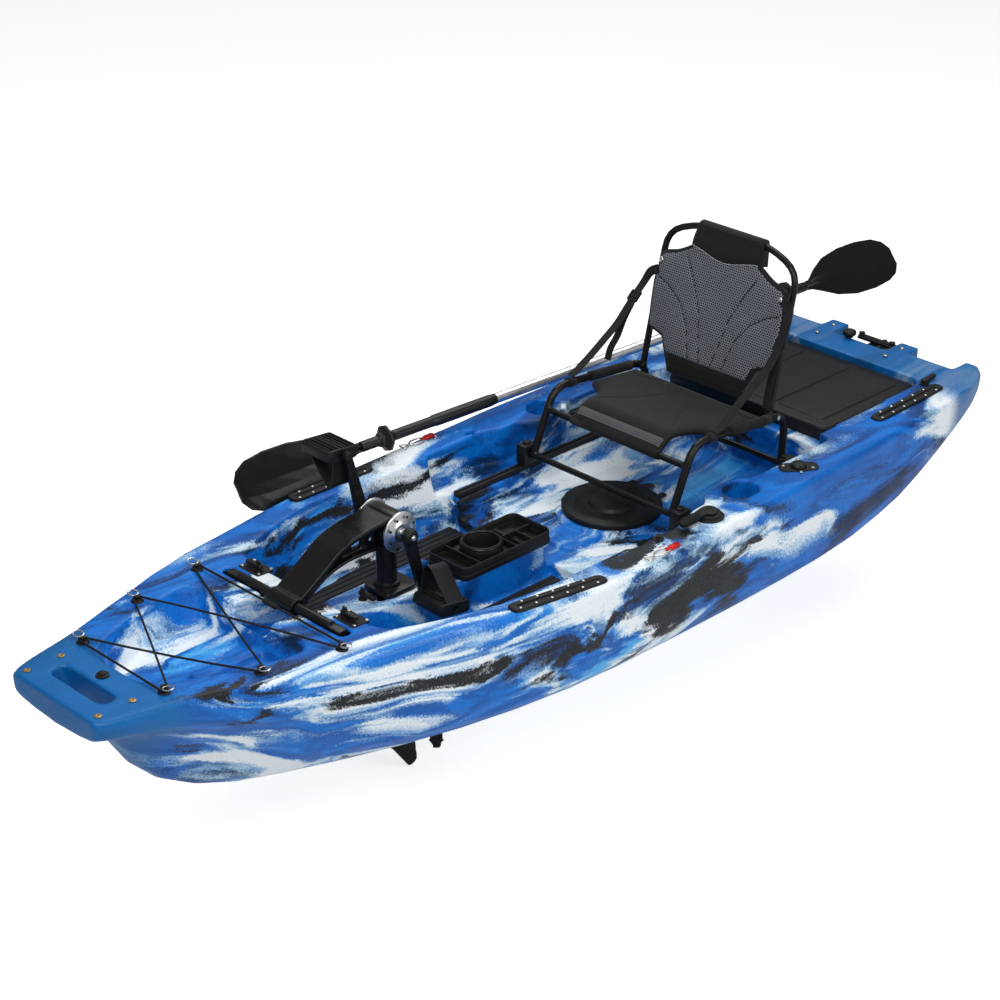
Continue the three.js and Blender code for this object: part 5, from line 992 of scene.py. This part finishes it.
def seat_sleeves():
    """Cloth sleeves of the sling round the front bar and the side tubes, and the straps' lower loops."""
    bar = [Vector((x, SLING_BAR["y"], SLING_BAR["z"])) for x in np.linspace(-0.149, 0.149, 5)]
    tube("sleeve_front", bar, 0.0118, CLOTH, "seat", 18)
    for side, sign in SIDES:
        for name, places, radius, material in (
            ("sleeve_", np.linspace(0.468, 0.624, 7), 0.0132, CLOTH),
            ("strap_loop_", (0.385, 0.397, 0.409), 0.0130, LOOKS["strap_web"]),
        ):
            run = [Vector((sign * 0.240, y, loop_height(y))) for y in places]
            tube(name + side, run, radius, material, "seat", 18)


back_cushion()
head_band()
seat_cushion()
seat_sleeves()

# Side straps

STRAP = {"width": 0.0245, "thick": 0.0022, "x": 0.2445}
STRAP_LINES = {
    "port": [
        (0.672, 0.680), (0.645, 0.620), (0.600, 0.569), (0.500, 0.512), (0.430, 0.4665), (0.404, 0.4605),
    ],
    "starboard": [
        (0.680, 0.650), (0.640, 0.617), (0.577, 0.557), (0.479, 0.498), (0.420, 0.4670), (0.400, 0.4610),
    ],
}
STRAP_HEADS = {
    "port": [(0.203, 0.0265, 0.300), (0.232, 0.0270, 0.285)],
    "starboard": [(0.203, 0.0265, 0.272), (0.232, 0.0240, 0.258)],
}
STRAP_TAILS = {
    "port": [(0.640, 0.612), (0.622, 0.560), (0.606, 0.500), (0.600, 0.462)],
    "starboard": [(0.640, 0.610), (0.600, 0.560), (0.581, 0.521), (0.552, 0.492), (0.543, 0.462)],
}
BUCKLE = {"width": 0.034, "length": 0.026, "thick": 0.0055}


def side_strap(side, sign):
    """One strap with its ladder-lock buckle and the loose tail that hangs from it."""
    line = STRAP_LINES[side]
    form = Form()
    head = [back_point(sign * x, depth, height) for x, depth, height in STRAP_HEADS[side]]
    path = bent(head + [Vector((sign * STRAP["x"], y, z)) for y, z in line], 0.02, 4)
    form.rows(strap_rows(path, (1, 0, 0), STRAP["width"], STRAP["thick"]))
    tail = bent([(sign * (STRAP["x"] + 0.002), y, z) for y, z in STRAP_TAILS[side]], 0.02, 4)
    form.rows(strap_rows(tail, (1, 0, 0), STRAP["width"] * 0.92, STRAP["thick"] * 0.8))
    along = (0, line[0][0] - line[2][0], line[0][1] - line[2][1])
    turn = placed((sign * STRAP["x"], *line[1]), (1, 0, 0), along)
    half, sink = BUCKLE["length"] / 2, -BUCKLE["thick"] / 2
    bars = [(0, step * half, (BUCKLE["width"], 0.005, BUCKLE["thick"])) for step in (-1, -0.2, 1)]
    rail = BUCKLE["width"] / 2 - 0.002
    bars += [(end * rail, 0, (0.004, BUCKLE["length"], BUCKLE["thick"])) for end in (-1, 1)]
    for x, y, size in bars:
        form.block(turn @ Matrix.Translation((x, y, sink)), size, 0.0015, 0.0008, 1)
    piece = form.made("side_strap_" + side, [LOOKS["strap_web"], LOOKS["black_moulding"]])
    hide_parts("back_strap_" + side)
    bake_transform(piece)


for side, sign in SIDES:
    side_strap(side, sign)

# Small fittings on the deck

BLACK = LOOKS["black_moulding"]
DECK_TOP = 0.3655
EYE_RING = {"out": 0.015, "radius": 0.0125, "squash": 0.9, "wire": 0.0018, "lean": 0.18}
TRAY = {"rise": 0.020, "thick": 0.0042, "corner": 0.022, "round": 0.0012, "sunk": 0.001}
# Middle, width and length of each wall between the tray's compartments
TRAY_WALLS = (
    (0, -0.098, 0.128, 0.004), (0, -0.222, 0.128, 0.004),
    (0, -0.046, 0.004, 0.1), (0.034, -0.046, 0.064, 0.004),
)
CUP_RIM = (
    (0.0435, -0.002), (0.0440, 0.004), (0.0455, 0.0062), (0.0490, 0.0062), (0.0530, 0.0015), (0.0532, -0.002),
)


def box_of(node):
    """The middle of a node's box across and along the boat, and its low and high corners."""
    points = np.array([v.co for v in nodes[node].data.vertices])
    low, high = points.min(0), points.max(0)
    return (low[0] + high[0]) / 2, (low[1] + high[1]) / 2, low, high


def fitting(form, name, materials, body, angle=40, slot="black_moulding"):
    form.made(name, materials, body, angle)


def eye_rings():
    """A D-ring on each pad eye, lying over towards the gunwale."""
    for node in nodes:
        if not node.startswith("pad_eye"):
            continue
        x, y, _, high = box_of(node)
        sign = 1 if "port" in node else -1
        middle = Vector((x + sign * EYE_RING["out"], y, high[2] + 0.0005))
        across = Vector((sign, 0, EYE_RING["lean"])).normalized() * EYE_RING["radius"]
        along = Vector((0, EYE_RING["radius"] * EYE_RING["squash"], 0))
        form = Form()
        form.loop(round_ring(middle, across, along, 1, 22), EYE_RING["wire"])
        form.made(node + "_ring", [SCREW], "hull")


def tray_walls():
    """The console tray's raised rim and the walls between its compartments."""
    x, y, low, high = box_of("console_tray")
    rise, thick, curl = TRAY["rise"], TRAY["thick"], TRAY["round"]
    middle = Vector((x, y, high[2] - TRAY["sunk"]))
    brow = rise - 0.0015
    section = [(0, 0), (0, brow), (curl, rise), (thick - curl, rise), (thick, brow), (thick, 0)]
    rows = []
    for centre, out in round_corners(high[0] - low[0], high[1] - low[1], TRAY["corner"], 6):
        edge = middle + centre + out * (TRAY["corner"] - 0.001)
        rows.append([edge - out * spread + Vector((0, 0, z)) for spread, z in section])
    form = Form()
    form.rows(rows, ring=True)
    for x, y, width, length in TRAY_WALLS:
        wall = Matrix.Translation((x, y, middle.z))
        form.block(wall, (width, length, rise - 0.004), 0.001, 0.0008)
    fitting(form, "console_walls", [BLACK], "hull")


def cup_rim():
    x, y, _, high = box_of("cup_holder")
    rows = []
    for i in range(40):
        c, s = math.cos(math.tau * i / 40), math.sin(math.tau * i / 40)
        rows.append([Vector((x + r * c, y + r * s, high[2] + z)) for r, z in CUP_RIM])
    form = Form()
    form.rows(rows, ring=True)
    fitting(form, "cup_holder_rim", [GLOSS], "hull", 60)


def clip_rigs():
    """A carabiner, a triangle ring and a red snap on each gunwale, joined by a short white cord."""
    for side, sign in SIDES:
        node = "safety_clip_" + side
        x, _, low, _ = box_of(node)
        y, z = low[1], low[2] + 0.0085
        form = Form()
        oval = round_ring(Vector((x, y + 0.056, z)), Vector((0.0115, 0, 0)), Vector((0, 0.0253, 0)), 1, 26)
        form.loop(oval, 0.0024, 1)
        points = [Vector((x + dx, y + dy, z)) for dx, dy in ((-0.013, 0.004), (0.013, 0.004), (0, 0.030))]
        ring = []
        for i, corner in enumerate(points):
            start, end = corner.lerp(points[i - 1], 0.22), corner.lerp(points[(i + 1) % 3], 0.22)
            for t in (0.0, 0.25, 0.5, 0.75, 1.0):
                ring.append(start * (1 - t) ** 2 + corner * (2 * t * (1 - t)) + end * t**2)
        form.loop(ring, 0.0021, 1)
        form.block(Matrix.Translation((x, y + 0.098, z - 0.0045)), (0.016, 0.034, 0.009), 0.006, 0.002)
        form.block(Matrix.Translation((x, y + 0.078, z - 0.0035)), (0.009, 0.014, 0.007), 0.003, 0.001)
        run = ((0, 0.112, 0), (0.010, 0.118, -0.004), (0.016, 0.100, -0.007))
        cord = bent([(x - sign * dx, y + dy, z + dz) for dx, dy, dz in run], 0.006)
        form.rows(tube_rows(cord, 0.0016, 8), 2)
        piece = form.made("clip_rig_" + side, [LOOKS["clip_red"], SCREW, CORD_WHITE], body_of[node], 60)
        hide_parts(node)


def deck_hardware():
    """Threaded brass inserts at the bow, screws at the stern and round the rod holder."""
    insert = [(0.0085, 0), (0.0085, 0.0012), (0.0045, 0.0016), (0.0040, 0.0006), (0.0001, 0.0006)]
    form = Form()
    for sign in (-1, 1):
        for y in (-1.375, -1.288):
            form.turned(Matrix.Translation((sign * 0.127, y, DECK_TOP)), insert, 18)
    form.made("bow_inserts", [BRASS], "hull")
    holder = box_of("rod_holder_port")[3][2] - 0.001
    stern = ((0.120, 1.348), (0.119, 1.273), (-0.120, 1.348), (-0.119, 1.273))
    rod = ((0.339, 0.566), (0.394, 0.570), (0.342, 0.620), (0.398, 0.612))
    for name, radius, z, places in (
        ("stern_screws", 0.0062, DECK_TOP, stern), ("rod_holder_screws", 0.0042, holder, rod),
    ):
        form = Form()
        for x, y in places:
            screw_into(form, Matrix.Translation((x, y, z)), radius)
        form.made(name, [SCREW], "hull")


def rudder_knob():
    form = Form()
    form.turned(Matrix.Translation((-0.033, 1.309, DECK_TOP)), [
        (0.011, 0), (0.011, 0.006), (0.018, 0.008), (0.0195, 0.013), (0.018, 0.019), (0.012, 0.022),
        (0.0001, 0.0225),
    ])
    fitting(form, "rudder_knob", [BLACK], "hull", 60)


def lever_grip():
    """A fat rubber grip over the outer part of the steering lever."""
    tip, way = Vector((0.379, 0.136, 0.352)), Vector((0, 1, 0))
    profile = [
        (0.004, -0.001), (0.0095, 0.002), (0.0118, 0.010), (0.0112, 0.026), (0.0120, 0.044), (0.0105, 0.058),
        (0.0085, 0.062),
    ]
    form = Form()
    form.turned(facing(tip, way), profile, 20)
    for k in range(5):
        rib = facing(tip + way * (0.014 + 0.008 * k), way)
        form.turned(rib, [(0.0119, 0), (0.0126, 0.001), (0.0126, 0.003), (0.0119, 0.004)], 20)
    fitting(form, "steering_grip", [GRIP], body_of["steering_lever"], 60, slot_of["steering_lever"])


eye_rings()
tray_walls()
cup_rim()
clip_rigs()
deck_hardware()
rudder_knob()
lever_grip()

# Fittings of the drive and the seat

HUB = Vector((0, -0.468, 0.430))
FORE = Vector((0, 1, 0))
UP = Vector((0, 0, 1))


def flange_screws():
    for side, sign in SIDES:
        node = "crank_flange_" + side
        face = box_of(node)[3 if sign > 0 else 2][0]
        form = Form()
        for point in round_ring(Vector((face - sign * 0.0004, *HUB.yz)), FORE, UP, 0.0385, 16)[1::2]:
            screw_into(form, facing(point, (sign, 0, 0)), 0.0034)
        form.made("flange_screws_" + side, [LOOKS["black_paint"]], body_of[node])


def crank_caps():
    profile = [(0.018, 0), (0.0185, 0.003), (0.0165, 0.0075), (0.0110, 0.0085), (0.0001, 0.0085)]
    for side, sign in SIDES:
        out = Vector((sign, 0, 0))
        form = Form()
        form.turned(facing(HUB + out * 0.0870, out), profile, 26)
        screw_into(form, facing(HUB + out * 0.0952, out), 0.0072, 1)
        node = "crank_" + side
        fitting(form, "crank_cap_" + side, [BLACK, SCREW], body_of[node], 60, slot_of[node])


def pedal_ribs():
    """Rubber ribs on both faces of each pedal, at its joint's place and tilt."""
    for side, sign, tilt in (("port", 1, -10), ("starboard", -1, 175)):
        _, y, z = joint_of[f"pedal_{side}_spin"]["pos_m"]
        turn = Matrix.Translation((0, y, z)) @ Matrix.Rotation(math.radians(tilt), 4, "X")
        form = Form()
        for face in (1, -1):
            flip = Matrix.Identity(4) if face > 0 else Matrix.Rotation(math.pi, 4, "Y")
            for k in range(-3, 4):
                if face > 0 and side == "port" and k == 0:
                    continue
                spot = turn @ Matrix.Translation((sign * 0.143, k * 0.0118, face * 0.0148)) @ flip
                form.block(spot, (0.086, 0.0052, 0.0026), 0.002, 0.0008)
        node = "pedal_" + side
        fitting(form, "pedal_ribs_" + side, [GRIP], body_of[node], slot=slot_of[node])


def clamp_blocks():
    """The hinged clamps beside the crossbar, each with its plate and four screws."""
    for side, _ in SIDES:
        x, y, low, _ = box_of("drive_latch_" + side)
        form = Form()
        base = Matrix.Translation((x, y + 0.004, low[2] - 0.006))
        form.block(base, (0.074, 0.050, 0.0075), 0.006, 0.0015)
        for dx in (-0.030, 0.030):
            for dy in (-0.016, 0.020):
                screw_into(form, base @ Matrix.Translation((dx, dy, 0.0072)), 0.0045, 1)
        fitting(form, "clamp_plate_" + side, [BLACK, SCREW], "hull")


def seat_hinges():
    cap = [(0.0062, 0), (0.0062, 0.0010), (0.0045, 0.0018), (0.0001, 0.0019)]
    rivet = [(0.007, 0), (0.0068, 0.0014), (0.004, 0.0026), (0.0001, 0.0028)]
    normal = (0, -math.cos(BACK["lean"]), math.sin(BACK["lean"]))
    for side, sign in SIDES:
        hinge = Vector(BACK["pivot"]) + Vector((sign * 0.2515, 0, 0))
        for name, matrix, profile, sides, body in (
            ("hinge_cap_", facing(hinge, (sign, 0, 0)), cap, 20, "seat"),
            ("back_rivet_", facing(back_point(sign * 0.200, 0.0268, 0.298), normal), rivet, 18, "backrest"),
        ):
            form = Form()
            form.turned(matrix, profile, sides)
            form.made(name + side, [SCREW], body, 60)


flange_screws()
crank_caps()
pedal_ribs()
clamp_blocks()
seat_hinges()

# Stage, lamps and finish

FLOOR = {"z": -0.262, "size": 60.0, "tone": 0.86, "glow": 0.66}
AMBIENT = 0.27
LAMPS = (
    ("key", (1.6, -2.4, 3.6), 2.2, 110),
    ("fill", (4.2, 0.9, 2.2), 2.6, 62),
    ("top", (-1.2, 1.6, 3.8), 3.0, 80),
)
LAMP_AIM = Vector((0, 0, 0.2))


def add_stage():
    mesh = bpy.data.meshes.new("floor")
    half = FLOOR["size"] / 2
    corners = [(x * half, y * half, FLOOR["z"]) for x, y in ((-1, -1), (1, -1), (1, 1), (-1, 1))]
    mesh.from_pydata(corners, [], [(0, 1, 2, 3)])
    floor = bpy.data.objects.new("floor", mesh)
    bpy.context.scene.collection.objects.link(floor)
    shader = Shader("floor_white", 0.9)
    shader.set("Base Color", (FLOOR["tone"], FLOOR["tone"], FLOOR["tone"], 1))
    seen = shader.node("LightPath").outputs["Is Camera Ray"]
    shader.set("Emission Color", (1, 1, 1, 1))
    shader.set("Emission Strength", shader.math("MULTIPLY", seen, FLOOR["glow"]))
    mesh.materials.append(shader.material)


def add_lamps():
    """A white surround that the camera sees at full strength and the object at less, and three area lamps."""
    scene = bpy.context.scene
    world = bpy.data.worlds.new("studio")
    scene.world = world
    world.use_nodes = True
    tree = world.node_tree
    background = tree.nodes["Background"]
    path = tree.nodes.new("ShaderNodeLightPath")
    strength = tree.nodes.new("ShaderNodeMapRange")
    tree.links.new(path.outputs["Is Camera Ray"], strength.inputs["Value"])
    strength.inputs["To Min"].default_value = AMBIENT
    strength.inputs["To Max"].default_value = 1.0
    tree.links.new(strength.outputs[0], background.inputs["Strength"])
    background.inputs["Color"].default_value = (1, 1, 1, 1)
    for name, place, size, power in LAMPS:
        data = bpy.data.lights.new(name, "AREA")
        data.size = size
        data.energy = power
        lamp = bpy.data.objects.new(name, data)
        lamp.location = place
        lamp.rotation_euler = (LAMP_AIM - Vector(place)).to_track_quat("-Z", "Y").to_euler()
        scene.collection.objects.link(lamp)


add_camera()
add_stage()
add_lamps()
bpy.context.scene.view_settings.view_transform = "Standard"
